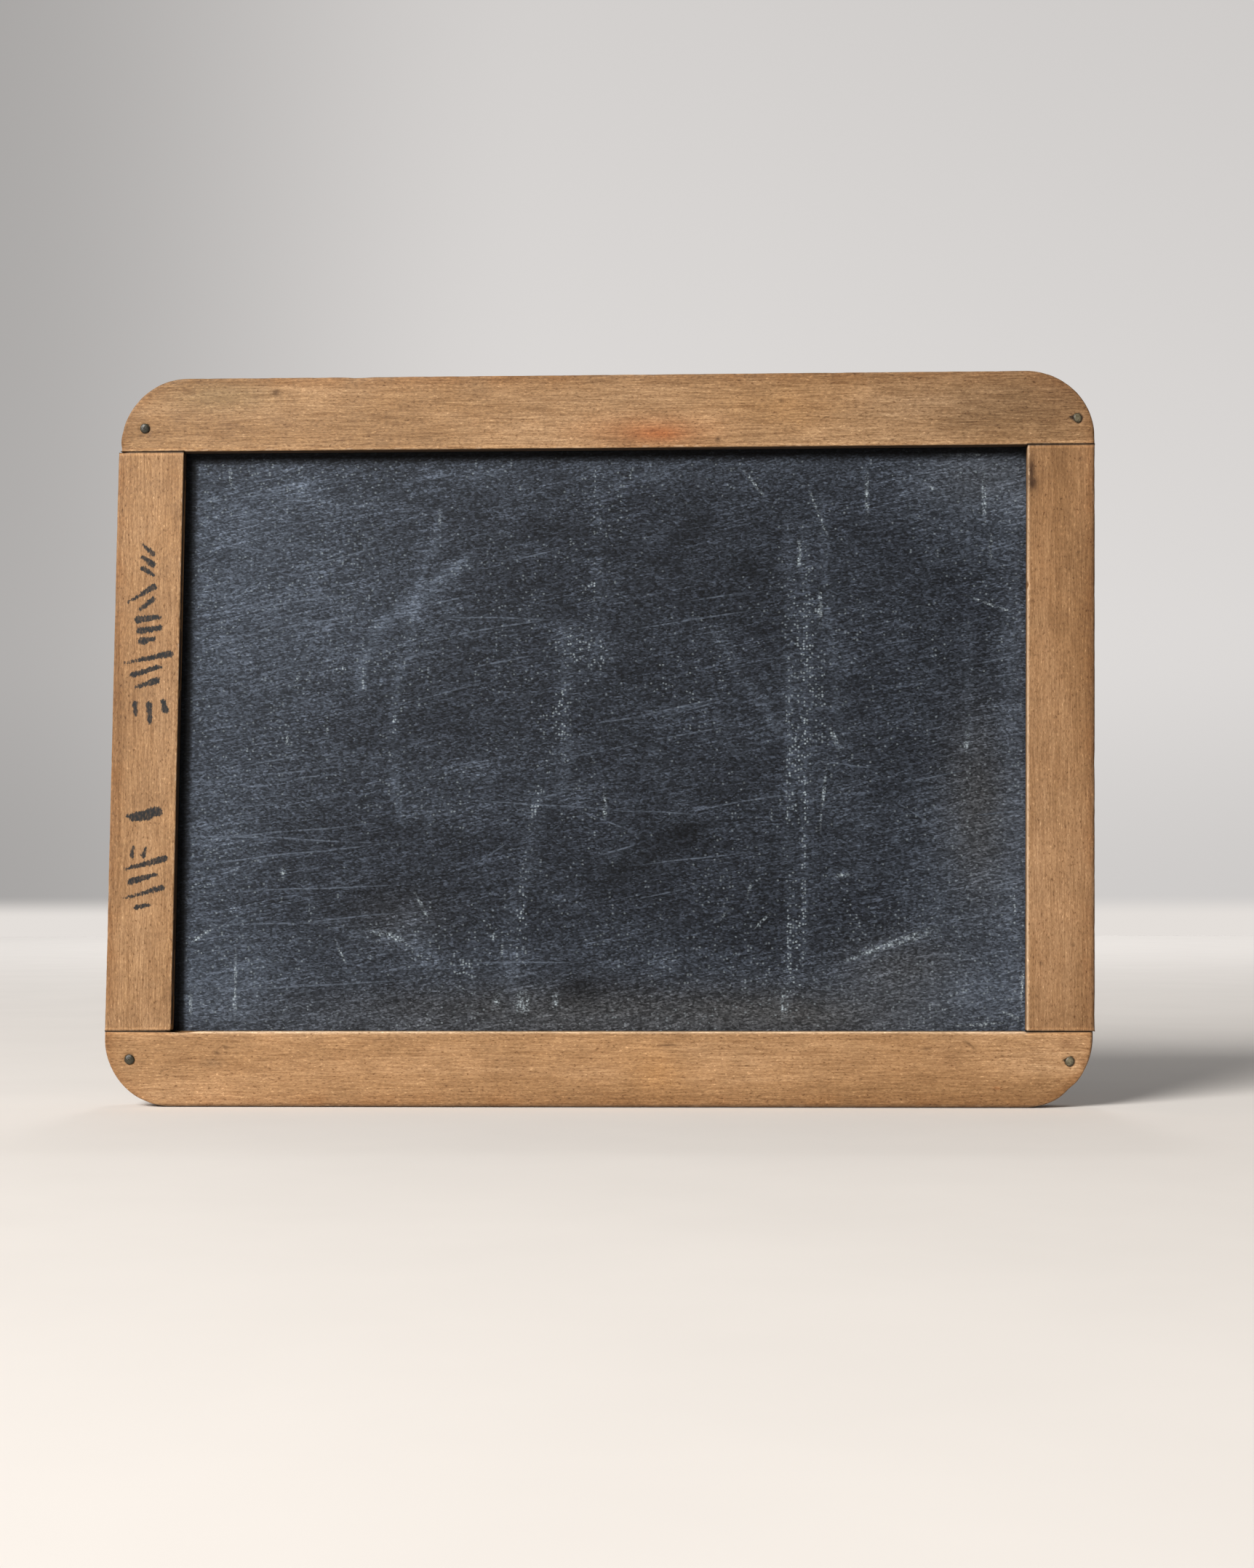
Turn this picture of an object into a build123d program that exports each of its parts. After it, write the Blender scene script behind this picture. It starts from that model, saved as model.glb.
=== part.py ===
"""Wood-framed writing slate, standing upright on its long bottom edge.

+X runs along the length, +Z up, and the front face looks towards -Y. The origin is at the
middle of the bottom edge, on the mid-plane of the frame. All sizes are in millimetres.
"""

import os
from math import radians, tan

from build123d import *

# Outer frame
frame_width = 242.4
frame_height = 181.0
frame_depth = 10.0
rail_height = 18.5
stile_width = 16.5
corner_radius = 17.0
edge_softening = 0.5
lean = 0.75  # degrees that the stiles lean, because the pinned joints have worked loose

# Slate and the groove that holds it; the same groove makes the slots and tenons of the joints
slate_thickness = 3.0
slate_chamfer = 0.3
groove_width = 3.3
groove_depth = 5.0
slate_play = 1.2  # between the slate's side or top edge and the bottom of the groove

# Nails that pin the corner joints, driven from the front
head_radius = 1.3
head_height = 0.45
shank_radius = 0.65
shank_length = 8.2
point_length = 1.5
hole_clearance = 0.02

# Each nail's distance from the frame's nearest side, and from the joint line on its rail
nail_places = {
    "top_left": (6.6, 5.9),
    "top_right": (4.3, 6.5),
    "bottom_left": (6.4, 6.9),
    "bottom_right": (6.2, 7.2),
}

half_width = frame_width / 2
half_depth = frame_depth / 2
tenon_width = stile_width - groove_depth
top_joint = frame_height - rail_height


def leaned(x, z):
    """A point of the square frame, moved to where the leaning stiles carry it."""
    return (x + (z - frame_height / 2) * tan(radians(lean)), z)


def leaned_panel(x_low, x_high, z_low, z_high, mode=Mode.ADD):
    """The face between two leaning lines and two level ones, in the sketch being drawn."""
    corners = ((x_low, z_low), (x_high, z_low), (x_high, z_high), (x_low, z_high))
    return Polygon(*(leaned(x, z) for x, z in corners), align=None, mode=mode)


with BuildSketch(Plane.XZ) as frame_outline:
    leaned_panel(-half_width, half_width, 0, frame_height)
    fillet(frame_outline.vertices(), corner_radius)


def nail_point(corner):
    """Where a corner's nail crosses the frame's mid-plane, as x and z."""
    side_distance, joint_distance = nail_places[corner]
    z = top_joint + joint_distance if "top" in corner else rail_height - joint_distance
    x = half_width - side_distance
    return leaned(x if "right" in corner else -x, z)


def nail_plane(corner):
    """A plane on a nail's axis at the front face: its x is +X and its y is +Y, into the wood."""
    x, z = nail_point(corner)
    return Plane(origin=(x, -half_depth, z), x_dir=(1, 0, 0), z_dir=(0, 0, 1))


def nail(corner):
    """A round nail: a low dome on the front face, a straight shank and a point inside the wood."""
    x, z = nail_point(corner)
    dome_radius = (head_radius**2 + head_height**2) / (2 * head_height)
    with BuildPart() as body:
        with BuildSketch(nail_plane(corner)):
            with BuildLine():
                RadiusArc((0, -head_height), (head_radius, 0), -dome_radius)
                Polyline(
                    (head_radius, 0),
                    (shank_radius, 0),
                    (shank_radius, shank_length - point_length),
                    (0, shank_length),
                    (0, -head_height),
                )
            make_face()
        revolve(axis=Axis((x, 0, z), (0, 1, 0)))
    return body


def nail_hole(corner):
    """The blind hole that a nail's shank has made, as a solid to cut away."""
    x, z = nail_point(corner)
    wall = shank_radius + hole_clearance
    with BuildPart() as body:
        with BuildSketch(nail_plane(corner)):
            with BuildLine():
                Polyline(
                    (0, 0),
                    (wall, 0),
                    (wall, shank_length - point_length),
                    (0, shank_length + hole_clearance),
                    close=True,
                )
            make_face()
        revolve(axis=Axis((x, 0, z), (0, 1, 0)))
    return body.part


def face_edges(body):
    """The edges all round the front and back faces."""
    front = body.edges().filter_by_position(Axis.Y, -half_depth, -half_depth)
    back = body.edges().filter_by_position(Axis.Y, half_depth, half_depth)
    return front + back


def rail(place):
    """A top or bottom rail: grooved for the slate and slotted at both ends for the stile tenons."""
    holes = [nail_hole(f"{place}_{side}") for side in ("left", "right")]
    if place == "top":
        z_low, z_high = top_joint, frame_height
        groove = (top_joint, top_joint + groove_depth)
        joint = top_joint
    else:
        z_low, z_high = 0, rail_height
        groove = (rail_height - groove_depth, rail_height)
        joint = rail_height
    with BuildPart() as body:
        with BuildSketch(Plane.XZ):
            leaned_panel(-half_width, half_width, z_low, z_high)
            add(frame_outline.sketch, mode=Mode.INTERSECT)
        extrude(amount=half_depth, both=True)
        fillet(
            face_edges(body).filter_by(lambda edge: abs(edge.center().Z - joint) > edge_softening),
            edge_softening,
        )
        with BuildSketch(Plane.XZ):
            leaned_panel(-half_width, half_width, *groove)
            leaned_panel(-half_width, tenon_width - half_width, z_low, z_high)
            leaned_panel(half_width - tenon_width, half_width, z_low, z_high)
        extrude(amount=groove_width / 2, both=True, mode=Mode.SUBTRACT)
        for hole in holes:
            add(hole, mode=Mode.SUBTRACT)
    return body


def stile(place):
    """A left or right stile: shouldered between the rails, with a full-length tenon at each end."""
    holes = [nail_hole(f"{end}_{place}") for end in ("top", "bottom")]
    side = -1 if place == "left" else 1
    outer = side * half_width
    inner = side * (half_width - stile_width)
    tenon_edge = side * (half_width - tenon_width)
    with BuildPart() as body:
        with BuildSketch(Plane.XZ):
            leaned_panel(*sorted((inner, outer)), rail_height, top_joint)
        extrude(amount=half_depth, both=True)
        fillet(
            face_edges(body).filter_by(lambda edge: edge.length > frame_height / 2),
            edge_softening,
        )
        with BuildSketch(Plane.XZ):
            leaned_panel(*sorted((inner, tenon_edge)), 0, frame_height)
        extrude(amount=groove_width / 2, both=True, mode=Mode.SUBTRACT)
        with BuildSketch(Plane.XZ):
            leaned_panel(*sorted((tenon_edge, outer)), 0, frame_height)
            add(frame_outline.sketch, mode=Mode.INTERSECT)
        extrude(amount=groove_width / 2, both=True)
        for hole in holes:
            add(hole, mode=Mode.SUBTRACT)
    return body


def slate():
    """The slate: it stands on the floor of the bottom groove, with play at its sides and top."""
    width = frame_width - 2 * (tenon_width + slate_play)
    bottom = rail_height - groove_depth
    top = top_joint + groove_depth - slate_play
    with BuildPart() as body:
        with BuildSketch(Plane.XZ):
            with Locations((0, (bottom + top) / 2)):
                Rectangle(width, top - bottom)
        extrude(amount=slate_thickness / 2, both=True)
        chamfer(body.edges(), slate_chamfer)
    return body


pieces = {
    "slate_panel": slate(),
    "top_rail": rail("top"),
    "bottom_rail": rail("bottom"),
    "left_stile": stile("left"),
    "right_stile": stile("right"),
}
pieces.update({f"nail_{corner}": nail(corner) for corner in nail_places})

os.makedirs("parts", exist_ok=True)
for name, body in pieces.items():
    body.part.label = name
    export_step(body.part, f"parts/{name}.step")
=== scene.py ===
import math

import bmesh
import bpy
import numpy as np
from mathutils import Matrix, Vector


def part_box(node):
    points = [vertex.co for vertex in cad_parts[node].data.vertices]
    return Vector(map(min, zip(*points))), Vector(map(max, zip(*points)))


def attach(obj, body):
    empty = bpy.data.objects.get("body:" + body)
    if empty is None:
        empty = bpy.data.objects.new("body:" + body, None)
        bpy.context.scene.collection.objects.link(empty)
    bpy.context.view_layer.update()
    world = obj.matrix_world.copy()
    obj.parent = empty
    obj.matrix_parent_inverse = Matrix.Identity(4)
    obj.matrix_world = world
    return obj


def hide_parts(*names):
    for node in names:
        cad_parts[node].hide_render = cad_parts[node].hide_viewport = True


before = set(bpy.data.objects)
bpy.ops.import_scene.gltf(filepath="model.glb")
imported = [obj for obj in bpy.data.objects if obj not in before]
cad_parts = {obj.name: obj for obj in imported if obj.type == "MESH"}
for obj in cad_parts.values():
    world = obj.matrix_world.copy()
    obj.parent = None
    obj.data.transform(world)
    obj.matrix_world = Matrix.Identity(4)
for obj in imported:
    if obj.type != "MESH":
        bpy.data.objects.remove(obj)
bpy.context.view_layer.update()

# Lengths below are in millimetres of the model's frame. A mesh is turned into metres when it is made.
MM = 0.001


def box_mm(node):
    """Lowest and highest corner of a CAD node, in millimetres."""
    low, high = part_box(node)
    return np.array(low) / MM, np.array(high) / MM


# ======== Sizes of the frame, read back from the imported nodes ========
CORNER_RADIUS = 17.0
GROOVE_DEPTH = 5.0
HALF_GROOVE = 1.65
SOFT_EDGE = 0.55  # rounding of the frame's outer edges,
OPENING_EDGE = 0.30  # of the edges beside the slate,
JOINT_EDGE = 0.17  # and of the edges along the corner joints

top_low, top_high = box_mm("top_rail")
bottom_low, bottom_high = box_mm("bottom_rail")
_, left_high = box_mm("left_stile")
slate_low, slate_high = box_mm("slate_panel")

frame_top = top_high[2]
joint_top = top_low[2]
joint_bottom = bottom_high[2]
middle_height = frame_top / 2
half_depth = top_high[1]
rail_height = frame_top - joint_top

# The frame leans: it is sheared along X in proportion to the height above its middle.
end_stretch = rail_height - CORNER_RADIUS
centre_shift = (top_low[0] + top_high[0] - bottom_low[0] - bottom_high[0]) / 2
lean_slope = centre_shift / (joint_top - joint_bottom + end_stretch)
half_width = (top_high[0] - top_low[0] - lean_slope * end_stretch) / 2
half_opening = lean_slope * (joint_top - middle_height) - left_high[0]
stile_width = half_width - half_opening
tenon_place = half_opening + GROOVE_DEPTH

NAILS = ("nail_top_left", "nail_top_right", "nail_bottom_left", "nail_bottom_right")


def nail_axis(node):
    """X and Z of a nail's axis."""
    low, high = box_mm(node)
    return (low[0] + high[0]) / 2, (low[2] + high[2]) / 2


def leaned(points):
    """Shears X, Y, Z points as the frame leans."""
    shifted = points.copy()
    shifted[:, 0] += lean_slope * (points[:, 2] - middle_height)
    return shifted


def upright_x(points):
    """X of each point as if the frame didn't lean."""
    return points[:, 0] - lean_slope * (points[:, 2] - middle_height)


# ======== Noise and marks on arrays of points ========
LATTICE_SIZE = 4096
LATTICE_PRIMES = (73856093, 19349663, 83492791)  # they mix a cell's three numbers into one


def lattice_noise(points, seed):
    """Smooth noise from -1 to 1, one lattice cell per unit."""
    values = np.random.default_rng(seed).uniform(-1, 1, LATTICE_SIZE)
    cell = np.floor(points).astype(np.int64)
    part = points - cell
    ease = part * part * (3 - 2 * part)
    total = np.zeros(len(points))
    for corner in np.ndindex(2, 2, 2):
        node = cell + np.array(corner)
        index = np.bitwise_xor.reduce(node * LATTICE_PRIMES, axis=1) % LATTICE_SIZE
        weight = np.prod(np.where(np.array(corner) == 1, ease, 1 - ease), axis=1)
        total += weight * values[index]
    return total


def fractal_noise(points, lengths, seed, octaves):
    """Noise from -1 to 1 whose coarsest features have the given lengths along X, Y and Z."""
    total = np.zeros(len(points))
    reach = 0.0
    for octave in range(octaves):
        share = 0.5 ** octave
        total += share * lattice_noise(points * (2 ** octave) / np.array(lengths), seed + octave)
        reach += share
    return total / reach


def band(distance, width, strength=1.0, place=0.0):
    """A soft band: its strength where the distance is the given one, fading over the width."""
    return strength * np.exp(-((distance - place) / width) ** 2)


def blotch(points, x, z, wide, high, turn=0.0):
    """A soft oval patch on the points' X and Z, 1 at its middle. turn is in degrees, rising rightwards."""
    angle = math.radians(turn)
    across = points[:, 0] - x
    up = points[:, 2] - z
    along = (across * math.cos(angle) + up * math.sin(angle)) / wide
    aside = (up * math.cos(angle) - across * math.sin(angle)) / high
    return np.exp(-(along ** 2 + aside ** 2))


def stroke_distance(points, start, end, first_half=0.0, last_half=0.0):
    """Distance from a straight stroke on the X-Z plane, below 0 inside it, thick as given at each end."""
    start = np.array(start, float)
    run = np.array(end, float) - start
    place = points[:, [0, 2]] - start
    share = np.clip(place @ run / (run @ run), 0, 1)
    half = first_half + (last_half - first_half) * share
    return np.linalg.norm(place - share[:, None] * run, axis=1) - half


def path_distance(points, path):
    """Distance from a line through several places on the X-Z plane."""
    return np.min([stroke_distance(points, *pair) for pair in zip(path, path[1:])], axis=0)


# ======== Shells: a plate with rounded edges and a narrower core between its two faces ========
WELD_REACH = 2e-4  # points nearer each other than this become one
RIM_STEPS = 5  # rows of faces round an arris,
WALL_STEPS = 6  # down the wall from it,
LEDGE_STEPS = 2  # in from the wall to the core,
CORE_STEPS = 6  # and across the whole core


def border(columns, rows):
    """Grid places once round a face: inner edge, far end, outer edge, near end."""
    inner = [(i, 0) for i in range(columns)]
    far = [(columns, j) for j in range(rows)]
    outer = [(i, rows) for i in range(columns, 0, -1)]
    near = [(0, j) for j in range(rows, 0, -1)]
    return np.array(inner + far + outer + near)


def grid(along, across):
    """A (columns, rows, 2) grid of places from two arrays that broadcast to its shape."""
    return np.stack(np.broadcast_arrays(along, across), axis=-1)


def rounded_wall(inset, outline, core, rounding, depth, half_core):
    """Rings of (along, depth, across) points from the front face round the edge to the core's middle."""
    rings = []
    for angle in np.linspace(0, math.pi / 2, RIM_STEPS + 1):
        place = inset + (outline - inset) * math.sin(angle)
        rings.append((place, -depth + rounding * (1 - math.cos(angle))))
    for share in np.linspace(0, 1, WALL_STEPS + 1)[1:]:
        rings.append((outline, (1 - share) * (rounding - depth) - share * half_core))
    for share in np.linspace(0, 1, LEDGE_STEPS + 1)[1:]:
        rings.append((outline + (core - outline) * share, np.full(len(outline), -half_core)))
    for share in np.linspace(0, 1, CORE_STEPS // 2 + 1)[1:]:
        rings.append((core, np.full(len(outline), -half_core * (1 - share))))
    return rings


def grid_faces(rows, columns, start, closed=False):
    """Quads between neighbouring points of a grid stored row by row."""
    last = columns if closed else columns - 1
    row, column = np.meshgrid(np.arange(rows - 1), np.arange(last), indexing="ij")
    after = (column + 1) % columns
    quads = np.stack([row * columns + column, row * columns + after,
                      (row + 1) * columns + after, (row + 1) * columns + column], axis=-1)
    return quads.reshape(-1, 4) + start


def shell_mesh(name, face, outline_face, core, rounding, depth, half_core, to_model, outer=None):
    """A closed mesh: two equal faces, rounded edges, walls and the core's own wall between them.

    face and outline_face are (columns, rows, 2) grids of along and across; core has one place for each
    border place, and rounding one radius. to_model turns (along, depth, across) into X, Y, Z. outer is
    each face point's distance from the frame's outer edge, and it grows again down the walls."""
    columns, rows = face.shape[0] - 1, face.shape[1] - 1
    edge = border(columns, rows)
    inset = face[edge[:, 0], edge[:, 1]]
    outline = outline_face[edge[:, 0], edge[:, 1]]
    front = rounded_wall(inset, outline, core, rounding, depth, half_core)
    rings = front + [(place, -level) for place, level in front[-2::-1]]
    outer = np.zeros(face.shape[:2]) if outer is None else outer
    points, quads, wear, from_outer = [], [], [], []
    for side in (-1, 1):
        flat = face.reshape(-1, 2)
        quads.append(grid_faces(columns + 1, rows + 1, sum(map(len, points))))
        points.append(np.column_stack([flat[:, 0], np.full(len(flat), side * depth), flat[:, 1]]))
        wear.append(np.zeros(len(flat)))
        from_outer.append(outer.ravel())
    quads.append(grid_faces(len(rings), len(edge), sum(map(len, points)), closed=True))
    for order, (place, level) in enumerate(rings):
        points.append(np.column_stack([place[:, 0], level, place[:, 1]]))
        steps_from_rim = max(0, min(order, len(rings) - 1 - order) - RIM_STEPS)
        wear.append(np.full(len(place), math.exp(-steps_from_rim)))
        from_outer.append(outer[edge[:, 0], edge[:, 1]] + np.maximum(0, depth - rounding - np.abs(level)))
    model = to_model(np.concatenate(points))
    mesh = bpy.data.meshes.new(name)
    mesh.from_pydata((model * MM).tolist(), [], np.concatenate(quads).tolist())
    keep_values(mesh, "wear", np.concatenate(wear))
    keep_values(mesh, "from_outer", np.concatenate(from_outer))
    weld(mesh)
    return mesh


def keep_values(mesh, name, values):
    """Stores one number for each vertex."""
    layer = mesh.attributes.new(name, "FLOAT", "POINT")
    layer.data.foreach_set("value", np.asarray(values, np.float32))


def keep_colours(mesh, name, colours):
    """Stores one linear colour for each vertex."""
    layer = mesh.attributes.new(name, "FLOAT_COLOR", "POINT")
    opaque = np.column_stack([colours, np.ones(len(colours))])
    layer.data.foreach_set("color", opaque.astype(np.float32).ravel())


def read_wear(mesh):
    """How near each vertex is to an arris: 1 on its rounding, and less down the walls."""
    values = np.zeros(len(mesh.vertices), np.float32)
    mesh.attributes["wear"].data.foreach_get("value", values)
    return values.astype(float)


def weld(mesh):
    """Joins the patches along their shared edges and turns every face outwards."""
    work = bmesh.new()
    work.from_mesh(mesh)
    bmesh.ops.remove_doubles(work, verts=work.verts, dist=WELD_REACH * MM)
    bmesh.ops.recalc_face_normals(work, faces=work.faces)
    work.to_mesh(mesh)
    work.free()


def mesh_points(mesh):
    """The vertices in millimetres and their normals."""
    points = np.zeros(len(mesh.vertices) * 3)
    normals = np.zeros(len(mesh.vertices) * 3)
    mesh.vertices.foreach_get("co", points)
    mesh.vertices.foreach_get("normal", normals)
    return points.reshape(-1, 3) / MM, normals.reshape(-1, 3)


def set_points(mesh, points):
    mesh.vertices.foreach_set("co", (points * MM).ravel())
    mesh.update()


def add_object(name, data):
    """Links a new object to the scene."""
    made = bpy.data.objects.new(name, data)
    bpy.context.scene.collection.objects.link(made)
    return made


def add_piece(name, mesh, node, material):
    """Links a finished piece that stands for a CAD node."""
    mesh.materials.append(material)
    mesh.shade_smooth()
    piece = add_object(name, mesh)
    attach(piece, "root")
    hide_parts(node)


# ======== Wooden rails and stiles ========
ROWS_ACROSS = 46
COLUMN_STEP = 0.46
ARC_STEPS = (14, 52)  # columns of a rounded corner from its start to the slot's end, then to its tip


def rail_columns(inset, end_trims):
    """Place along the rail and height of the outer edge for each column of its face."""
    centre = half_width - CORNER_RADIUS
    slot_angle = math.asin((tenon_place - centre) / CORNER_RADIUS)
    angles = np.concatenate([np.linspace(0, slot_angle, ARC_STEPS[0] + 1),
                             np.linspace(slot_angle, math.pi / 2, ARC_STEPS[1] + 1)[1:]])
    radius = CORNER_RADIUS - inset
    heights = end_stretch + radius * np.cos(angles)
    near = -centre - (radius - end_trims[0]) * np.sin(angles)
    far = centre + (radius - end_trims[1]) * np.sin(angles)
    straight = np.linspace(-centre, centre, int(2 * centre / COLUMN_STEP) + 1)
    along = np.concatenate([near[:0:-1], straight, far[1:]])
    level = np.full(len(straight), rail_height - inset)
    return along, np.concatenate([heights[:0:-1], level, heights[1:]])


def rail_core(outline, edge, columns):
    """Core places of a rail: the groove's bottom, the slots' ends and the flush outer edge."""
    slot_rows = ARC_STEPS[1]
    core = outline.copy()
    between_slots = (edge[:, 0] >= slot_rows) & (edge[:, 0] <= columns - slot_rows)
    core[between_slots & (edge[:, 1] == 0), 1] = GROOVE_DEPTH
    past_centre = tenon_place - half_width + CORNER_RADIUS
    shoulder = end_stretch + math.sqrt(CORNER_RADIUS ** 2 - past_centre ** 2)
    far = np.where(~between_slots & (outline[:, 0] > 0))[0]
    near = np.where(~between_slots & (outline[:, 0] < 0))[0]
    rise = np.linspace(0, 1, len(far) + 2)[1:-1]
    core[far, 0] = tenon_place
    core[far, 1] = GROOVE_DEPTH + (shoulder - GROOVE_DEPTH) * rise
    last_outer = np.where(between_slots & (edge[:, 1] > 0))[0].max()
    near = np.concatenate([near[near > last_outer], near[near < last_outer]])
    core[near, 0] = -tenon_place
    core[near, 1] = shoulder + (GROOVE_DEPTH - shoulder) * rise
    return core


def rail_mesh(name, side, end_trims):
    """A rail with rounded outer corners, grooved along its inner edge and slotted at both ends."""
    along, top = rail_columns(0.0, end_trims)
    along_in, top_in = rail_columns(SOFT_EDGE, end_trims)
    share = np.linspace(0, 1, ROWS_ACROSS + 1)
    beside_opening = np.abs(along) <= half_opening
    inner_edge = np.where(beside_opening, OPENING_EDGE, JOINT_EDGE)
    face = grid(along_in[:, None], inner_edge[:, None] + (top_in - inner_edge)[:, None] * share)
    outline_face = grid(along[:, None], top[:, None] * share)
    columns = len(along) - 1
    edge = border(columns, ROWS_ACROSS)
    rounding = np.where(edge[:, 1] == 0, inner_edge[edge[:, 0]], SOFT_EDGE)
    core = rail_core(outline_face[edge[:, 0], edge[:, 1]], edge, columns)
    start = joint_top if side > 0 else joint_bottom
    outer = np.minimum(face[:, -1:, 1] - face[:, :, 1], half_width - SOFT_EDGE - np.abs(face[:, :, 0]))

    def to_model(places):
        return leaned(np.column_stack([places[:, 0], places[:, 1], start + side * places[:, 2]]))

    return shell_mesh(name, face, outline_face, core, rounding, half_depth, HALF_GROOVE, to_model, outer)


def tenon_outline(count):
    """Places round a tenon from its inner shoulder to the outer one: (beyond the joint, across)."""
    centre_across = CORNER_RADIUS - stile_width
    arc_start = math.asin((GROOVE_DEPTH + centre_across) / CORNER_RADIUS)
    straight_end = end_stretch + CORNER_RADIUS * math.cos(arc_start)
    arc_length = CORNER_RADIUS * (math.pi / 2 - arc_start)
    whole = straight_end + arc_length + end_stretch
    places = []
    for run in np.linspace(0, whole, count):
        if run < straight_end:
            places.append((run, GROOVE_DEPTH))
        elif run < straight_end + arc_length:
            angle = arc_start + (run - straight_end) / CORNER_RADIUS
            places.append((end_stretch + CORNER_RADIUS * math.cos(angle),
                           CORNER_RADIUS * math.sin(angle) - centre_across))
        else:
            places.append((whole - run, stile_width))
    return np.array(places)


def stile_core(outline, edge, columns, low, high):
    """Core places of a stile: the groove's bottom, both tenons and the flush outer edge."""
    core = outline.copy()
    middle, half = (low + high) / 2, (high - low) / 2
    inner = edge[:, 1] == 0
    core[inner, 0] = middle + (outline[inner, 0] - middle) * (half - GROOVE_DEPTH) / half
    core[inner, 1] = GROOVE_DEPTH
    for end, joint, away in ((columns, high, 1), (0, low, -1)):
        places = np.where((edge[:, 0] == end) & (edge[:, 1] > 0))[0]
        places = places[np.argsort(edge[places, 1])]
        across = outline[places, 1]
        lip = places[across < GROOVE_DEPTH]
        core[lip, 0] = joint - away * (GROOVE_DEPTH - outline[lip, 1])
        core[lip, 1] = GROOVE_DEPTH
        shoulder = places[across >= GROOVE_DEPTH]
        tenon = tenon_outline(len(shoulder))
        core[shoulder, 0] = joint + away * tenon[:, 0]
        core[shoulder, 1] = tenon[:, 1]
    return core


def stile_mesh(name, side):
    """A stile between the rails, grooved along its inner edge, with a tenon at each end."""
    low, high = joint_bottom, joint_top
    count = int((high - low) / COLUMN_STEP) + 1
    along = np.linspace(low, high, count)
    along_in = np.linspace(low + JOINT_EDGE, high - JOINT_EDGE, count)
    groove_share = GROOVE_DEPTH / stile_width
    groove_row = round(ROWS_ACROSS * GROOVE_DEPTH / stile_width)
    share = np.concatenate([np.linspace(0, groove_share, groove_row + 1),
                            np.linspace(groove_share, 1, ROWS_ACROSS - groove_row + 1)[1:]])
    face = grid(along_in[:, None], OPENING_EDGE + (stile_width - OPENING_EDGE - SOFT_EDGE) * share)
    outline_face = grid(along[:, None], stile_width * share)
    columns = count - 1
    edge = border(columns, ROWS_ACROSS)
    ends = (edge[:, 0] == 0) | (edge[:, 0] == columns)
    rounding = np.where(ends, JOINT_EDGE, np.where(edge[:, 1] == 0, OPENING_EDGE, SOFT_EDGE))
    core = stile_core(outline_face[edge[:, 0], edge[:, 1]], edge, columns, low, high)
    outer = face[:, -1:, 1] - face[:, :, 1]

    def to_model(places):
        across = side * (half_opening + places[:, 2])
        return leaned(np.column_stack([across, places[:, 1], places[:, 0]]))

    return shell_mesh(name, face, outline_face, core, rounding, half_depth, HALF_GROOVE, to_model, outer)


FIBRE_LENGTH, FIBRE_WIDTH = 16.0, 1.3
RELIEF = 0.05
WAVE_STRETCH = 9  # planing waves are this many times larger than the fibres
WAVINESS = 0.10
CHIP_SIZE = 3.5
EDGE_WEAR = 0.14
# Worn or knocked places on the front edges: (X, Z, width, height, depth).
DENTS = (
    (-103.2, 18.5, 2.6, 0.9, 0.45),
    (-119.4, 163.2, 1.6, 1.2, 0.25),
    (105.1, 127.8, 0.5, 0.6, 0.35),
    (114.2, 4.2, 2, 2, 0.30),
    (-114.7, 26, 0.3, 0.8, 0.35),
    (66, 177.5, 0.4, 3, 0.12),
    (30, 0.6, 2.4, 0.6, 0.25),
    (-60, 180.6, 3, 0.7, 0.20),
)

# The nail's well: its radius, the reach of points that become its floor, the reach of points that
# gather on its wall, and its play beyond the nail's point.
WELL_RADIUS, WELL_FLOOR, WELL_WALL, WELL_PLAY = 1.0, 0.85, 1.28, 0.1
WELL_FLOOR_SPREAD = 0.9
PRESSED_RING = (0.45, 0.16, 1.25)  # width, depth and radius of the dip round a nail's head
FRONT_SKIN = 0.6  # points of the front face lie within this depth


def weather_wood(mesh, grain, seed):
    """Sinks the surface by fine grain, planing waves, worn arrises, knocks and the nails' wells."""
    points, normals = mesh_points(mesh)
    fibre = np.full(3, FIBRE_WIDTH)
    fibre[grain] = FIBRE_LENGTH
    sink = RELIEF * (0.5 + 0.5 * fractal_noise(points, fibre, seed, 2))
    sink += WAVINESS * (0.5 + 0.5 * fractal_noise(points, fibre * WAVE_STRETCH, seed + 10, 2))
    chips = fractal_noise(points, [CHIP_SIZE] * 3, seed + 20, 3)
    sink += EDGE_WEAR * read_wear(mesh) * np.clip(chips + 0.15, 0, 1) ** 1.5
    for *place, deep in DENTS:
        sink += deep * blotch(points, *place) * (normals[:, 1] < 0.5)
    points -= normals * sink[:, None]
    sink_nail_wells(points)
    set_points(mesh, points)


def sink_nail_wells(points):
    """Opens a round well in the front face under each nail's head, clear of its shank."""
    for node in NAILS:
        axis = nail_axis(node)
        _, high = box_mm(node)
        offset = points[:, [0, 2]] - axis
        distance = np.linalg.norm(offset, axis=1)
        front = points[:, 1] < -half_depth + FRONT_SKIN
        points[front, 1] += band(distance[front], *PRESSED_RING)
        wall = front & (distance >= WELL_FLOOR) & (distance < WELL_WALL)
        floor = front & (distance < WELL_FLOOR)
        for group, radius in ((wall, np.full(wall.sum(), WELL_RADIUS)),
                              (floor, distance[floor] * WELL_RADIUS * WELL_FLOOR_SPREAD)):
            scale = radius / np.maximum(distance[group], 1e-6)
            points[np.ix_(group, [0, 2])] = offset[group] * scale[:, None] + axis
        points[floor, 1] = high[1] + WELL_PLAY


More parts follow.
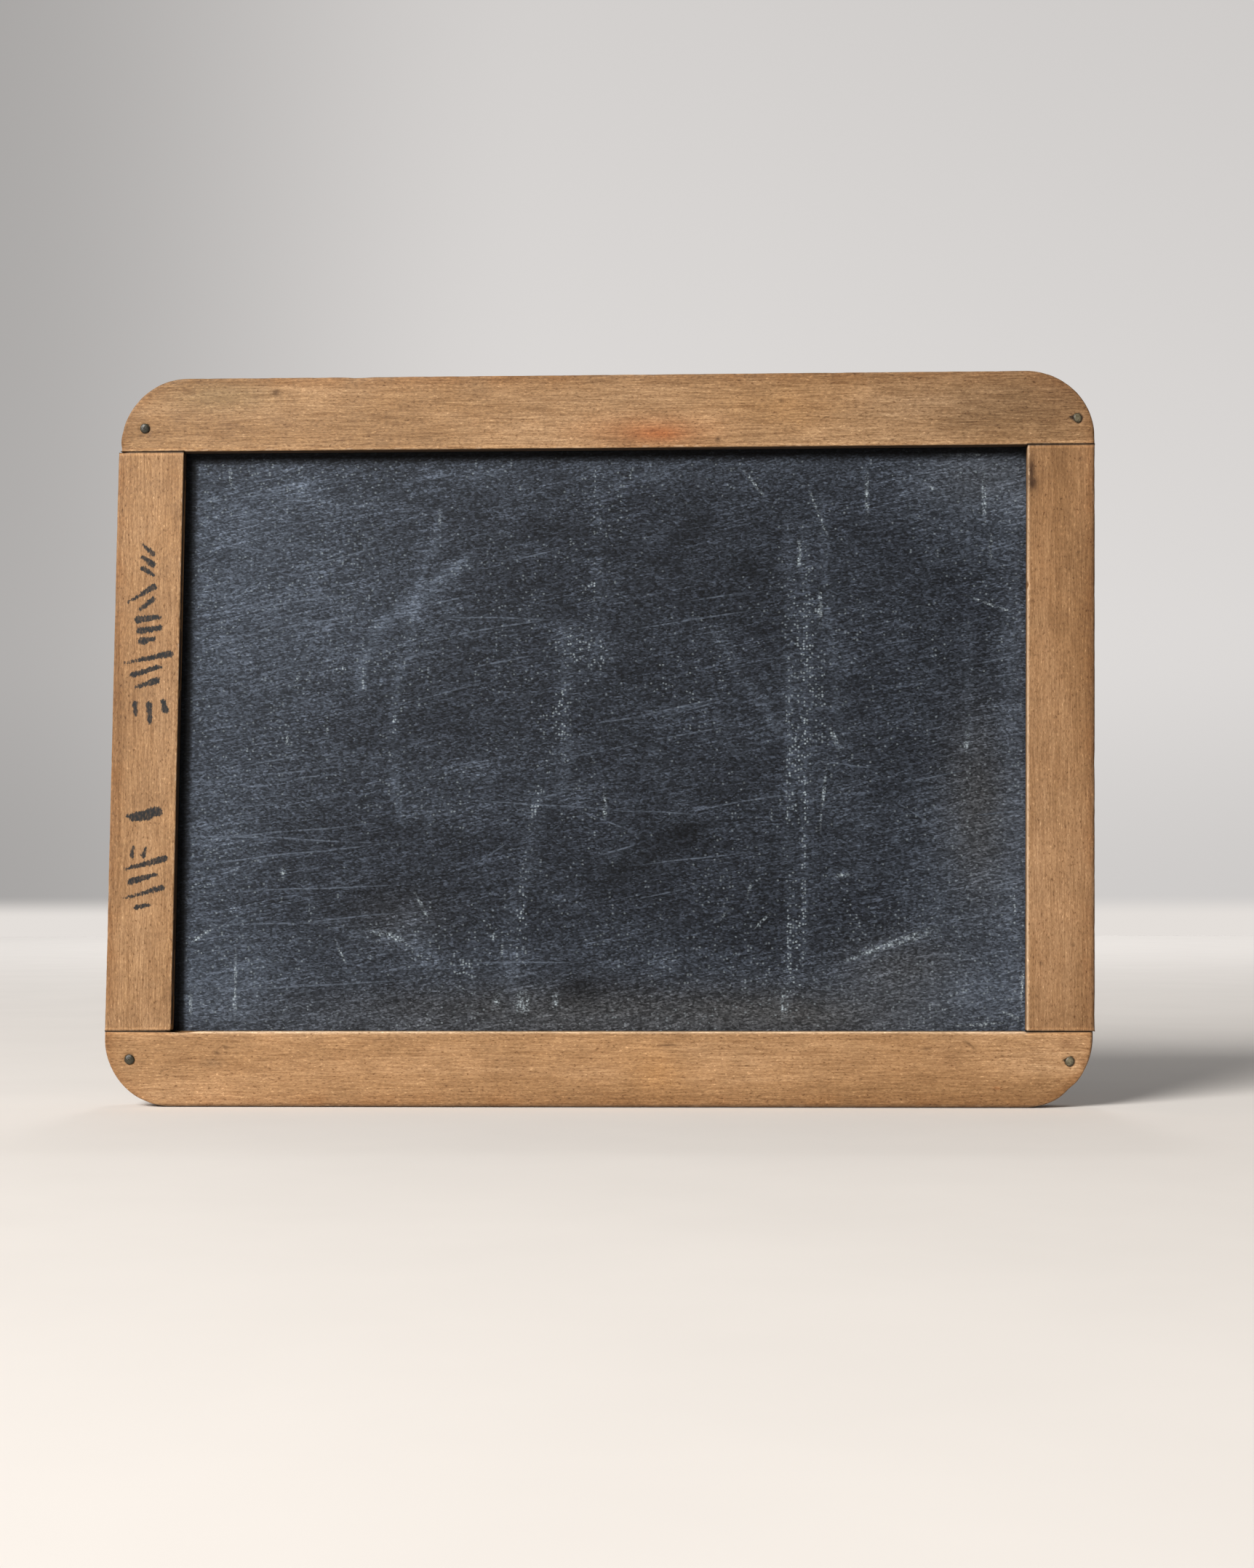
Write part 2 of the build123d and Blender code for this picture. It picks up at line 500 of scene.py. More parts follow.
# Patches of colour on the wood: (X, Z, width, height, turn, strength, colour that it tends to).
OLIVE = (0.80, 0.86, 0.84)
RED_STAIN = (0.98, 0.72, 0.58)
GOLD = (1.02, 0.95, 0.80)
GREY = (0.78, 0.80, 0.84)
BROWN = (0.72, 0.66, 0.62)
DARK = (0.40, 0.36, 0.33)
PALE = (1.12, 1.10, 1.12)
STAIN = (0.22, 0.18, 0.16)
# Painted light: lightens the lower parts as if by light bounced up from the table.
BOUNCE_LIGHT_TINT = (1.18, 1.22, 1.30)
PATCHES = (
    (-95, 176.5, 13, 4, 0, 0.9, OLIVE),
    (-103, 177.7, 1.6, 1, 0, 0.7, BROWN),
    (-91.8, 169.1, 2, 0.8, 0, 0.6, BROWN),
    (-77.1, 168.8, 1.8, 0.7, 0, 0.6, BROWN),
    (-80.8, 177.1, 1.2, 0.9, 0, 1, DARK),
    (12.4, 166.6, 15, 3.6, 0, 0.8, RED_STAIN),
    (15.2, 165.8, 6.5, 1.8, 0, 0.9, RED_STAIN),
    (29.2, 164.4, 0.8, 0.5, 20, 1, DARK),
    (45.1, 173.9, 0.5, 0.4, 0, 1, DARK),
    (72.5, 163.8, 0.6, 0.4, 0, 1, DARK),
    (45, 172, 14, 6, 0, 0.6, GOLD),
    (95, 172, 24, 9, 0, 1, GREY),
    (115, 176, 9, 8, 0, 0.8, BROWN),
    (106.4, 156.2, 0.9, 2.9, 0, 1, STAIN),
    (106.7, 152.8, 1.3, 1.9, 0, 1, STAIN),
    # Painted bounce light from the table on the lower parts of the frame.
    (-88, 9, 36, 14, 0, 1, BOUNCE_LIGHT_TINT),
    (-112, 38, 12, 26, 0, 0.6, BOUNCE_LIGHT_TINT),
    (113, 42, 14, 30, 0, 1, BOUNCE_LIGHT_TINT),
    (-113, 98, 12, 28, 0, 0.25, BROWN),
    (118.6, 158.9, 0.4, 0.4, 0, 1, DARK),
    (117.8, 135.8, 0.5, 0.25, 0, 1, DARK),
    (115.2, 39.5, 0.35, 0.35, 0, 1, DARK),
    (107.4, 35.1, 0.35, 0.35, 0, 1, DARK),
    (-94.2, 13.3, 0.6, 0.5, 0, 1, DARK),
    (-92.2, 14.6, 0.5, 0.4, 0, 1, DARK),
    (-95.2, 10.8, 2.8, 1.1, 0, 0.9, GREY),
    (13.4, 8.6, 7, 6, 0, 0.7, GOLD),
    (16.6, 15.2, 2.2, 0.3, 0, 1, DARK),
    (32.9, 4.4, 0.5, 0.4, 0, 1, PALE),
    (79.4, 14.3, 0.8, 0.25, 0, 1, DARK),
    (89.8, 15.4, 1.6, 0.3, -40, 0.9, DARK),
    (85.2, 12, 2.6, 3.6, 30, 0.5, BROWN),
    (113.6, 15.8, 2.2, 1.5, 0, 0.9, BROWN),
    (117.2, 11, 1.3, 1, 0, 0.9, BROWN),
    (96.5, 4.9, 0.8, 0.25, 0, 1, RED_STAIN),
    (-111, 30, 2, 0.8, 0, 0.5, GREY),
    (117.9, 34.8, 0.3, 6, 0, 0.8, PALE),
    (117.4, 145.6, 0.3, 2.2, 0, 0.8, PALE),
    (108.6, 43, 4, 0.3, -46, 0.6, PALE),
    (-31.1, 168.8, 0.9, 0.3, 30, 0.9, PALE),
    (2.8, 168.6, 0.8, 0.3, 20, 0.9, PALE),
    (9.5, 177.5, 0.8, 0.3, 40, 0.9, PALE),
    (65.9, 177.8, 0.3, 2.8, 4, 0.9, PALE),
)

# Brushed tally dabs on the left stile: start, end and the half thickness at each.
TALLY = (
    ((-114, 139.2), (-111.4, 137), 0.35, 0.80),
    ((-114.1, 136.2), (-111.3, 134.2), 0.45, 0.90),
    ((-113.7, 133.2), (-111.2, 131.6), 0.75, 0.55),
    ((-117.6, 124.6), (-110.9, 128.6), 0.25, 0.85),
    ((-114.2, 123), (-111.2, 125.4), 0.55, 0.75),
    ((-114.9, 120.4), (-109.6, 121), 1.00, 0.60),
    ((-114.5, 117.6), (-109.4, 118.3), 0.85, 0.75),
    ((-113.9, 115), (-110.6, 115.7), 1.05, 0.55),
    ((-118, 109.6), (-106.8, 111.8), 0.30, 0.95),
    ((-116, 106.6), (-109.4, 108.6), 0.80, 0.65),
    ((-115.2, 103.6), (-110, 105.2), 0.45, 0.95),
    ((-115.4, 99.6), (-115.2, 96.8), 0.70, 0.55),
    ((-111.9, 99.2), (-111.6, 94.8), 0.85, 0.60),
    ((-108.4, 100.2), (-107.8, 97.8), 0.60, 1.00),
    ((-117.2, 71.6), (-109.6, 72.6), 0.35, 1.35),
    ((-115.8, 71), (-112, 71.8), 0.95, 1.45),
    ((-117.4, 58.4), (-107.6, 61), 0.45, 0.95),
    ((-115.8, 61.6), (-115.4, 64), 0.60, 0.30),
    ((-113, 61.6), (-112.4, 63.6), 0.70, 0.35),
    ((-116, 55.4), (-109.8, 57), 0.95, 0.55),
    ((-117.6, 51.2), (-108.2, 53.8), 0.35, 0.80),
    ((-114.4, 49), (-111.2, 49.6), 0.75, 0.45),
)

FAR_AWAY = 9.0
FRONT_REACH = 1.5  # the front's marks run this far back round its edges
# Colour factors of the opening's pale arrises where light falls on them: partly wear, partly a painted
# highlight.
LIT_ARRIS_TINT = (2.10, 2.70, 3.80)
LIT_ARRIS_REACH = 0.29
LIT_ARRIS_SPREAD = 0.7  # distances from the bottom arris count this much, so it is pale further out
# Soft bands on the wood, a lighter band beside the joint and above the top arris and painted shade at the
# right end: width, strength and distance from the joint, the right end or the top arris.
JOINT_SHEEN = (0.28, 0.42, 0.58)
END_SHADE = (0.8, 0.55)
TOP_SHEEN = (0.4, 0.20, 0.5)
# The dirty joint line: half width far from the opening, what the opening adds, and how fast that fades.
GAP, GAP_EXTRA, GAP_FADE = 0.20, 0.15, 7.0
# Painted shade on the left and top walls beside the slate: how near they are, where they start, their fade
# and their most.
SHADE_REACH, SHADE_START, SHADE_FADE, SHADE_MOST = 0.1, 0.22, 0.4, 0.95
# The dark socket round each nail runs to a point: where that point is, seen from the nail's axis.
SOCKET_TIPS = {
    "nail_top_left": (-0.5, 0.3),
    "nail_top_right": (-2.3, 0.3),
    "nail_bottom_left": (0.4, -0.4),
    "nail_bottom_right": (-1.7, 0.4),
}

SOCKET_RADIUS = 1.34
SOCKET_REACH, SOCKET_FADE, SOCKET_MOST = 0.22, 0.45, 0.9


def wood_colour_and_light(points, on_front, upright, from_joint, past_opening):
    """Colour factors: the patches, some of them painted bounce light on the lower parts; a lighter band
    beside the joints and above the top arris; pale arrises, partly worn and partly a painted highlight; and
    painted shade on the right end.
    """
    patina_and_light = np.ones((len(points), 3))
    for *place, strength, colour in PATCHES:
        share = strength * blotch(points, *place) * on_front
        patina_and_light *= 1 + (np.array(colour) - 1) * share[:, None]
    patina_and_light *= 1 + (past_opening * band(from_joint, *JOINT_SHEEN))[:, None]
    # Painted shade: the right end, which faces away from the light, goes darker.
    patina_and_light *= 1 - band(np.maximum(half_width - upright, 0), *END_SHADE)[:, None]
    over_opening = np.abs(upright) < half_opening
    below = np.where(over_opening, joint_bottom - points[:, 2], FAR_AWAY)
    beside_opening = (points[:, 2] > joint_bottom) & (points[:, 2] < joint_top)
    aside = np.where(beside_opening, upright - half_opening, FAR_AWAY)
    # Painted highlight and wear: the bottom rail's top arris and the right stile's inner arris, which face
    # the light, go pale.
    lit_arris = np.minimum(LIT_ARRIS_SPREAD * np.abs(below), np.abs(aside))
    pale = on_front * band(lit_arris, LIT_ARRIS_REACH)
    patina_and_light *= 1 + (np.array(LIT_ARRIS_TINT) - 1) * pale[:, None]
    above = np.where(over_opening, points[:, 2] - joint_top, FAR_AWAY)
    return patina_and_light * (1 + band(above, *TOP_SHEEN)[:, None])


def wood_dirt_and_shade(points, on_front, upright, from_joint, past_opening):
    """Dirt and painted shade from 0 to 1: dirt in the joints and round the nails, painted shade on the left
    and top walls beside the slate.
    """
    gap = GAP + GAP_EXTRA * np.exp(-(np.abs(upright) - half_opening) / GAP_FADE)
    grime_and_shade = np.where(past_opening, band(from_joint, gap), 0)
    beside_opening = (points[:, 2] > joint_bottom) & (points[:, 2] < joint_top)
    # Painted shade: the left stile's inner wall and the top rail's lower wall go dark, as they face away
    # from the light.
    shaded = (np.abs(upright + half_opening) < SHADE_REACH) & beside_opening
    shaded |= (np.abs(points[:, 2] - joint_top) < SHADE_REACH) & (np.abs(upright) < half_opening)
    deep = np.clip((half_depth - SHADE_START + points[:, 1]) / SHADE_FADE, 0, SHADE_MOST)
    grime_and_shade = np.maximum(grime_and_shade, shaded * deep * (points[:, 1] < 0))
    for node in NAILS:
        axis = nail_axis(node)
        from_socket = stroke_distance(points, np.add(axis, SOCKET_TIPS[node]), axis, 0.0, SOCKET_RADIUS)
        socket = np.clip((SOCKET_REACH - from_socket) / SOCKET_FADE, 0, SOCKET_MOST)
        grime_and_shade = np.maximum(grime_and_shade, on_front * socket)
    return grime_and_shade


def mark_wood(mesh):
    """Stores the wood's colour factors and its dirt, both with painted light and shade, and the distance
    from the ink marks.
    """
    points, _ = mesh_points(mesh)
    on_front = points[:, 1] < -half_depth + FRONT_REACH
    upright = upright_x(points)
    from_joint = np.minimum(np.abs(points[:, 2] - joint_top), np.abs(points[:, 2] - joint_bottom))
    past_opening = np.abs(upright) > half_opening - OPENING_EDGE
    seen = (points, on_front, upright, from_joint, past_opening)
    keep_colours(mesh, "patina_and_light", wood_colour_and_light(*seen))
    keep_values(mesh, "grime_and_shade", wood_dirt_and_shade(*seen))
    ink = np.min([stroke_distance(points, *dab) for dab in TALLY], axis=0)
    keep_values(mesh, "ink", np.where(on_front, np.minimum(ink, FAR_AWAY), FAR_AWAY))


# ======== The slate panel ========
SLATE_STEP = 0.93
SLATE_CHAMFER = 0.3
SLATE_WAVES, SLATE_RELIEF = (24.0, 24.0, 16.0), 0.03
SLATE_CHIPS, SLATE_WEAR = (4.0, 4.0, 4.0), 0.35


def slate_mesh():
    """The slab, with softened arrises and a slightly uneven riven surface."""
    low, high = slate_low, slate_high
    half = (high[1] - low[1]) / 2

    def plane(inset):
        wide = np.linspace(low[0] + inset, high[0] - inset, int((high[0] - low[0]) / SLATE_STEP))
        tall = np.linspace(low[2] + inset, high[2] - inset, int((high[2] - low[2]) / SLATE_STEP))
        return grid(wide[:, None], tall)

    face, outline_face = plane(SLATE_CHAMFER), plane(0.0)
    edge = border(face.shape[0] - 1, face.shape[1] - 1)
    outline = outline_face[edge[:, 0], edge[:, 1]]
    rounding = np.full(len(edge), SLATE_CHAMFER)
    mesh = shell_mesh("slate_panel_visual", face, outline_face, outline, rounding, half, half / 3,
                      lambda places: places)
    points, normals = mesh_points(mesh)
    sink = SLATE_RELIEF * (0.5 + 0.5 * fractal_noise(points, SLATE_WAVES, 300, 3))
    sink += SLATE_WEAR * read_wear(mesh) * np.clip(fractal_noise(points, SLATE_CHIPS, 310, 3), 0, 1)
    set_points(mesh, points - normals * sink[:, None])
    return mesh


# Broad marks on the slate: (X, Z, width, height, turn, strength).
CHALK_HAZE = (
    (-94, 134, 26, 32, 0, 0.42),
    (-62, 120, 34, 22, 10, 0.26),
    (-98, 64, 20, 40, 0, 0.42),
    (-95, 30, 26, 12, 0, 0.42),
    (-40, 80, 40, 10, 0, 0.16),
    (-75, 150, 50, 9, 0, 0.22),
    (96, 154, 20, 14, 0, 0.46),
    (102, 95, 4, 60, 0, 0.45),
    (94, 50, 14, 28, 0, 0.40),
    (84, 26, 34, 9, 0, 0.62),
    (-30, 34, 40, 9, 0, 0.20),
    (70, 76, 26, 26, 0, 0.10),
    (-10, 20.5, 90, 3.5, 0, 0.45),
    (0, 158, 80, 5, 0, 0.20),
    (12.2, 155.6, 3, 1.2, 0, 0.50),
    (-73.8, 154.4, 2.2, 1.4, 0, 0.50),
    (4.4, 153.6, 2.4, 1.4, 0, 0.45),
    (-46.4, 122.2, 1.6, 1.6, 0, 0.60),
    (-39.5, 131.8, 8, 0.9, 33, 0.35),
    (-40.6, 72.2, 6, 1.2, 0, 0.30),
    (-45, 40, 4, 9, 10, 0.25),
    (62, 57.5, 5, 1.4, 6, 0.30),
    (70, 39, 11, 2, 22, 0.40),
    (20, 34, 16, 5, 0, 0.16),
    (28, 92, 10, 10, 0, 0.14),
    (54, 100, 8, 24, 0, 0.16),
)

DARK_SMUDGE = (
    (23.8, 144, 5, 2.6, 20, 0.60),
    (21.4, 140.4, 3.4, 1.6, 0, 0.50),
    (37.6, 132.4, 5, 2.4, -30, 0.60),
    (-12.3, 144.4, 7, 2.2, 0, 0.45),
    (14.4, 62.6, 13, 3, 29, 0.75),
    (22, 68, 4.6, 2.6, 0, 0.70),
    (4, 57.6, 3.6, 2.6, 0, 0.60),
    (-5, 28.6, 7, 3.2, -26, 0.75),
    (-19.8, 22.4, 3.4, 2.2, 0, 0.60),
    (-38, 22, 6, 3, 0, 0.35),
    (60, 78, 30, 16, 0, 0.18),
    (30, 110, 34, 20, 0, 0.20),
    (45, 44, 26, 6, 0, 0.20),
)

BROWN_FILM = (
    (-10, 22, 60, 7, 0, 0.80),
    (50, 22, 30, 6, 0, 0.65),
    (93, 72, 8, 22, 0, 0.70),
    (75, 33, 14, 8, 0, 0.60),
    (96, 156, 14, 8, 0, 0.40),
    (-50, 46, 12, 7, 0, 0.25),
)

# Soft rubbed traces of old chalk lines: half width, strength, and the places that each runs through.
SMEARS = (
    (1.5, 0.42, ((-33.5, 135), (-42.5, 127), (-55, 119.5), (-59, 110), (-60, 102.5))),
    (1.1, 0.34, ((-40, 148), (-41, 140), (-45.5, 129.5), (-47.5, 112), (-50.5, 106),
                 (-51.5, 97.5), (-51.5, 86.5), (-50.5, 77), (-49, 69))),
    (1.5, 0.16, ((-0.5, 158), (-0.5, 114))),
    (4.2, 0.16, ((-10, 116), (0, 112.5))),
    (2, 0.24, ((-8.5, 118), (-9, 79))),
    (2.2, 0.20, ((-16, 78), (-17, 62), (-22, 49), (-22, 24))),
    (1.2, 0.16, ((47, 144), (46.8, 86))),
    (1.3, 0.16, ((46.8, 90), (46.4, 22))),
    (1.5, 0.18, ((51, 142), (50.5, 86), (50, 36))),
    (1.1, 0.20, ((54.5, 150), (57, 118), (59.3, 89))),
    (1.6, 0.30, ((28.5, 116.5), (37, 103), (45, 92))),
    (1.1, 0.20, ((91, 118), (91, 86))),
    (1.2, 0.18, ((87.5, 71), (86, 58), (82, 47))),
    (1.4, 0.14, ((22, 100), (14, 92), (13, 82), (20, 74))),
    (1.2, 0.22, ((-70, 66), (-74, 58), (-72, 48), (-62, 42.5), (-50, 40.5))),
    (1.2, 0.20, ((-100.5, 40), (-95, 44.5), (-86, 45.5))),
)

# Faint rings left by a wet cup or lid: (X, Z, radius, half width, strength).
RINGS = ((-77.5, 79.9, 5.6, 1.0, 0.30),)
# Where the painted shadow beside the frame starts to fade and where it ends, from the left wall and the top
# one.
LEFT_SHADOW = (2.1, 3.0)
TOP_SHADOW = (1.5, 3.2)


def mark_slate(mesh):
    """Stores the slate's haze, smudges, brown film and a painted shadow beside the frame's left and top
    walls.

    The back carries the same marks upside down."""
    points, _ = mesh_points(mesh)
    on_back = points[:, 1] > 0
    points[on_back, 2] = 2 * middle_height - points[on_back, 2]
    totals = {}
    for name, marks in (("haze", CHALK_HAZE), ("smudge", DARK_SMUDGE), ("film", BROWN_FILM)):
        totals[name] = sum(strength * blotch(points, *place) for *place, strength in marks)
    for half, strength, path in SMEARS:
        totals["haze"] += band(path_distance(points, path), half, strength)
    for x, z, radius, half, strength in RINGS:
        off_ring = np.hypot(points[:, 0] - x, points[:, 2] - z) - radius
        totals["smudge"] += band(off_ring, half, strength)
    # Painted shadow: the slate goes dark beside the left and top walls, where the frame's shadow falls.
    totals["painted_shadow"] = np.zeros(len(points))
    from_left = upright_x(points) + half_opening
    for inwards, (dark, end) in ((from_left, LEFT_SHADOW), (joint_top - points[:, 2], TOP_SHADOW)):
        shadow_share = 1 - np.clip((inwards - dark) / (end - dark), 0, 1)
        totals["painted_shadow"] = np.maximum(totals["painted_shadow"], shadow_share)
    for name, total in totals.items():
        keep_values(mesh, name, np.clip(total, 0, 1))


# ======== Nails ========
NAIL_SIDES = 56
DOME_RINGS, SHANK_RINGS = 12, 9
HEAD_RIM = ((0.96, 0.03), (0.80, 0.07))  # share of the head's radius, depth below the frame's face
NAIL_NECK = ((1.15, 0.1), (1.0, 0.3))  # share of the shank's radius, the same depth
SHANK_START = 0.8  # the depth from which the shank is even
NAIL_POINT = 1.5  # length of the point
POINT_SHARES = (0.75, 0.5, 0.25, 0.08)  # radii of the point's rings, as shares of the shank's
HEAD_ZONE = 0.2  # points above this depth belong to the head
HEAD_DENTS, DENT_SIZE, DENT_REACH = 0.10, 0.9, 0.95  # depth, length, share of the head's radius
HEAD_RAGGED, RAGGED_SIZE = 0.06, 1.1  # share of the radius that its rim varies by, length
TILT_START, TILT_MOST = 1.0, 0.3  # how far from the axis the tilt starts, and its most
WORN_REACH, WORN_FADE = 1.05, 0.4  # shares of the head's radius


def nail_profile(low, high):
    """Radius and depth along a nail, from the top of its domed head to its point."""
    head = (high[0] - low[0]) / 2
    front = low[1]
    dome = -half_depth - front
    shank = head / 2
    profile = [(head * math.sin(angle), front + dome * (1 - math.cos(angle)))
               for angle in np.linspace(0.0, math.pi / 2, DOME_RINGS)[1:]]
    profile += [(head * share, below - half_depth) for share, below in HEAD_RIM]
    profile += [(shank * share, below - half_depth) for share, below in NAIL_NECK]
    profile += [(shank, depth)
                for depth in np.linspace(SHANK_START - half_depth, high[1] - NAIL_POINT, SHANK_RINGS)]
    profile += [(shank * share, high[1] - NAIL_POINT * share ** 0.8) for share in POINT_SHARES]
    return np.array(profile)


def nail_mesh(node, squeeze, turn, tilt, worn, seed):
    """A hand-driven nail: an irregular domed head, squeezed across and tilted, and a pointed shank."""
    low, high = box_mm(node)
    radius, depth = nail_profile(low, high).T[:, :, None]
    angles = np.linspace(0, 2 * math.pi, NAIL_SIDES, endpoint=False)
    rings = np.stack(np.broadcast_arrays(radius * np.cos(angles), depth, radius * np.sin(angles)), axis=-1)
    points = np.concatenate([[[0.0, low[1], 0.0]], rings.reshape(-1, 3), [[0.0, high[1], 0.0]]])
    in_head = points[:, 1] < HEAD_ZONE - half_depth
    reach = np.linalg.norm(points[:, [0, 2]], axis=1) / ((high[0] - low[0]) / 2)
    dents = fractal_noise(points + seed, [DENT_SIZE] * 3, seed, 3)
    dented = in_head & (reach < DENT_REACH)
    points[:, 1] += np.where(dented, HEAD_DENTS * (dents + 0.6) * (1 - reach ** 2), 0)
    ragged = fractal_noise(points * (1, 0, 1) + seed, [RAGGED_SIZE] * 3, seed + 5, 2)
    points[:, [0, 2]] *= np.where(in_head, 1 - HEAD_RAGGED * (1 + ragged), 1)[:, None]
    angle = math.radians(turn)
    along = points[:, 0] * math.cos(angle) + points[:, 2] * math.sin(angle)
    shift = np.where(in_head, along * (squeeze - 1), 0)
    points[:, 0] += shift * math.cos(angle)
    points[:, 2] += shift * math.sin(angle)
    points[:, 1] += np.where(in_head, np.clip(tilt * (along + TILT_START), 0, TILT_MOST), 0)
    points[:, [0, 2]] += nail_axis(node)

    last = len(points) - 1
    faces = grid_faces(len(rings), NAIL_SIDES, 1, closed=True).tolist()
    for i in range(NAIL_SIDES):
        after = (i + 1) % NAIL_SIDES
        faces.append((0, 1 + i, 1 + after))
        faces.append((last - NAIL_SIDES + i, last - NAIL_SIDES + after, last))
    mesh = bpy.data.meshes.new(node + "_visual")
    mesh.from_pydata((points * MM).tolist(), [], faces)
    keep_values(mesh, "worn", worn * np.clip((WORN_REACH - reach) / WORN_FADE, 0, 1))
    weld(mesh)
    return mesh


# ======== Node graphs ========
NOISE_SPAN = 0.28  # most of a noise pattern lies within this distance of its middle value


class Wire:
    """A node's output. Sums, differences and products of wires add Math nodes."""

    def __init__(self, graph, socket):
        self.graph = graph
        self.socket = socket

    def __add__(self, other):
        return self.graph.math("ADD", self, other)

    def __sub__(self, other):
        return self.graph.math("SUBTRACT", self, other)

    def __mul__(self, other):
        return self.graph.math("MULTIPLY", self, other)


class Graph:
    """The nodes of a material or world, with a short call for each kind that is used here."""

    def __init__(self, owner, shader):
        owner.use_nodes = True
        self.owner = owner
        self.tree = owner.node_tree
        self.surface = self.tree.nodes[shader]

    def put(self, socket, value):
        """Links a wire to a socket, or sets the socket's own value."""
        if isinstance(value, Wire):
            self.tree.links.new(value.socket, socket)
        elif socket.type == "RGBA":
            socket.default_value = (*value, 1.0)
        else:
            socket.default_value = value

    def node(self, kind, inputs, *outputs, **settings):
        """Adds a node and gives the wires of the outputs asked for, or of its first one."""
        made = self.tree.nodes.new("ShaderNode" + kind)
        for key, value in settings.items():
            setattr(made, key, value)
        for key, value in inputs.items():
            self.put(made.inputs[key], value)
        wires = [Wire(self, made.outputs[key]) for key in outputs or (0,)]
        return wires if len(wires) > 1 else wires[0]

    def vector(self, operation, *values, **named):
        return self.node("VectorMath", {**dict(enumerate(values)), **named}, operation=operation)

    def math(self, operation, first, second=0.0):
        return self.node("Math", {0: first, 1: second}, operation=operation)

    def largest(self, first, *others):
        for other in others:
            first = self.math("MAXIMUM", first, other)
        return first

    def parts(self, vector):
        return self.node("SeparateXYZ", {0: vector}, 0, 1, 2)

    def joined(self, *values):
        return self.node("CombineXYZ", dict(enumerate(values)))

    def place(self):
        """The point on the object in millimetres."""
        return self.vector("SCALE", self.node("TexCoord", {}, "Object"), Scale=1 / MM)

    def range(self, value, low, high, to_low=0.0, to_high=1.0, smooth=False):
        """Maps a value from one range to another, held at its ends."""
        kind = "SMOOTHSTEP" if smooth else "LINEAR"
        values = dict(enumerate((value, low, high, to_low, to_high)))
        return self.node("MapRange", values, interpolation_type=kind, clamp=True)

    def noise(self, vector, detail, roughness=0.5, output="Fac"):
        """Noise from 0 to 1, about one feature per unit of the vector."""
        values = {"Vector": vector, "Scale": 1.0, "Detail": detail, "Roughness": roughness}
        return self.node("TexNoise", values, output)

    def cells(self, vector, wide, high):
        """Small cells on the X-Z plane: distance from each one's middle, and its two random numbers."""
        x, _, z = self.parts(vector)
        flat = self.vector("DIVIDE", self.joined(x, z), (wide, high, 1.0))
        distance, colour = self.node("TexVoronoi", {"Vector": flat, "Scale": 1.0, "Randomness": 1.0},
                                     "Distance", "Color", voronoi_dimensions="2D")
        chance, size, _ = self.parts(colour)
        return distance, chance, size

    def stretched(self, vector, lengths, shift=0.0):
        """Divides a vector by one or three feature lengths, and moves it to a new part of the noise."""
        lengths = lengths if isinstance(lengths, tuple) else (lengths, lengths, lengths)
        return self.vector("ADD", self.vector("DIVIDE", vector, lengths), (shift, shift * 0.7, shift * 0.4))

    def mapping(self, vector, location, turn, scale):
        """Coordinates from a local frame that is turned in the X-Z plane, rising to the right."""
        values = {"Vector": vector, "Location": location, "Scale": scale,
                  "Rotation": (0.0, -math.radians(turn), 0.0)}
        return self.node("Mapping", values, vector_type="TEXTURE")

    def mix(self, share, first, second, blend="MIX"):
        return self.node("Mix", {0: share, 6: first, 7: second}, 2,
                         data_type="RGBA", blend_type=blend, clamp_factor=True)

    def tint(self, share, colour, factors):
        """Multiplies a colour by factors, as far as the share says."""
        return self.mix(share, colour, self.mix(1.0, colour, factors, "MULTIPLY"))

    def shade(self, colour, value, darkest, lightest, span=NOISE_SPAN):
        """Multiplies each channel by a factor that follows a noise value about its middle."""
        factors = [self.range(value, 0.5 - span, 0.5 + span, low, high)
                   for low, high in zip(darkest, lightest)]
        return self.vector("MULTIPLY", colour, self.joined(*factors))

    def attribute(self, name, output="Fac"):
        return self.node("Attribute", {}, output, attribute_name=name)

    def bump(self, height, distance, strength, **normal):
        values = {"Height": height, "Distance": distance * MM, "Strength": strength, **normal}
        return self.node("Bump", values, "Normal")

    def finish(self, colour, roughness, **normal):
        for name, value in {"Base Color": colour, "Roughness": roughness, **normal}.items():
            self.put(self.surface.inputs[name], value)
        return self.owner


def material_graph(name, specular):
    """The graph of a new material with the given specular level."""
    g = Graph(bpy.data.materials.new(name), "Principled BSDF")
    g.surface.inputs["Specular IOR Level"].default_value = specular
    return g


# ======== Materials ========
# Each g.stretched call gives a pattern's feature lengths and its place in the noise.
WOOD_LIGHT = (0.355, 0.212, 0.108)
WOOD_MID = (0.305, 0.174, 0.082)
WOOD_DEEP = (0.250, 0.138, 0.061)
WOOD_WORN = (0.50, 0.35, 0.23)
# The dark colour of dirt, also used for painted shade.
WOOD_GRIME_AND_SHADE = (0.035, 0.022, 0.014)
INK = (0.010, 0.012, 0.014)
HANDLED_TINT = (0.66, 0.52, 0.38)
DARK_FLECK_TINT = (0.50, 0.42, 0.34)
LIGHT_FLECK_TINT = (1.50, 1.60, 1.72)
# Factors of the darkest and the lightest parts of each noise layer.
STREAK_TINTS = ((0.91, 0.88, 0.84), (1.08, 1.10, 1.13))
LINE_TINTS = ((0.66, 0.60, 0.53), (1.31, 1.38, 1.46))
FIBRE_TINTS = ((0.57, 0.52, 0.47), (1.43, 1.48, 1.53))
MOTTLE_TINTS = ((0.86, 0.85, 0.83), (1.10, 1.10, 1.10))


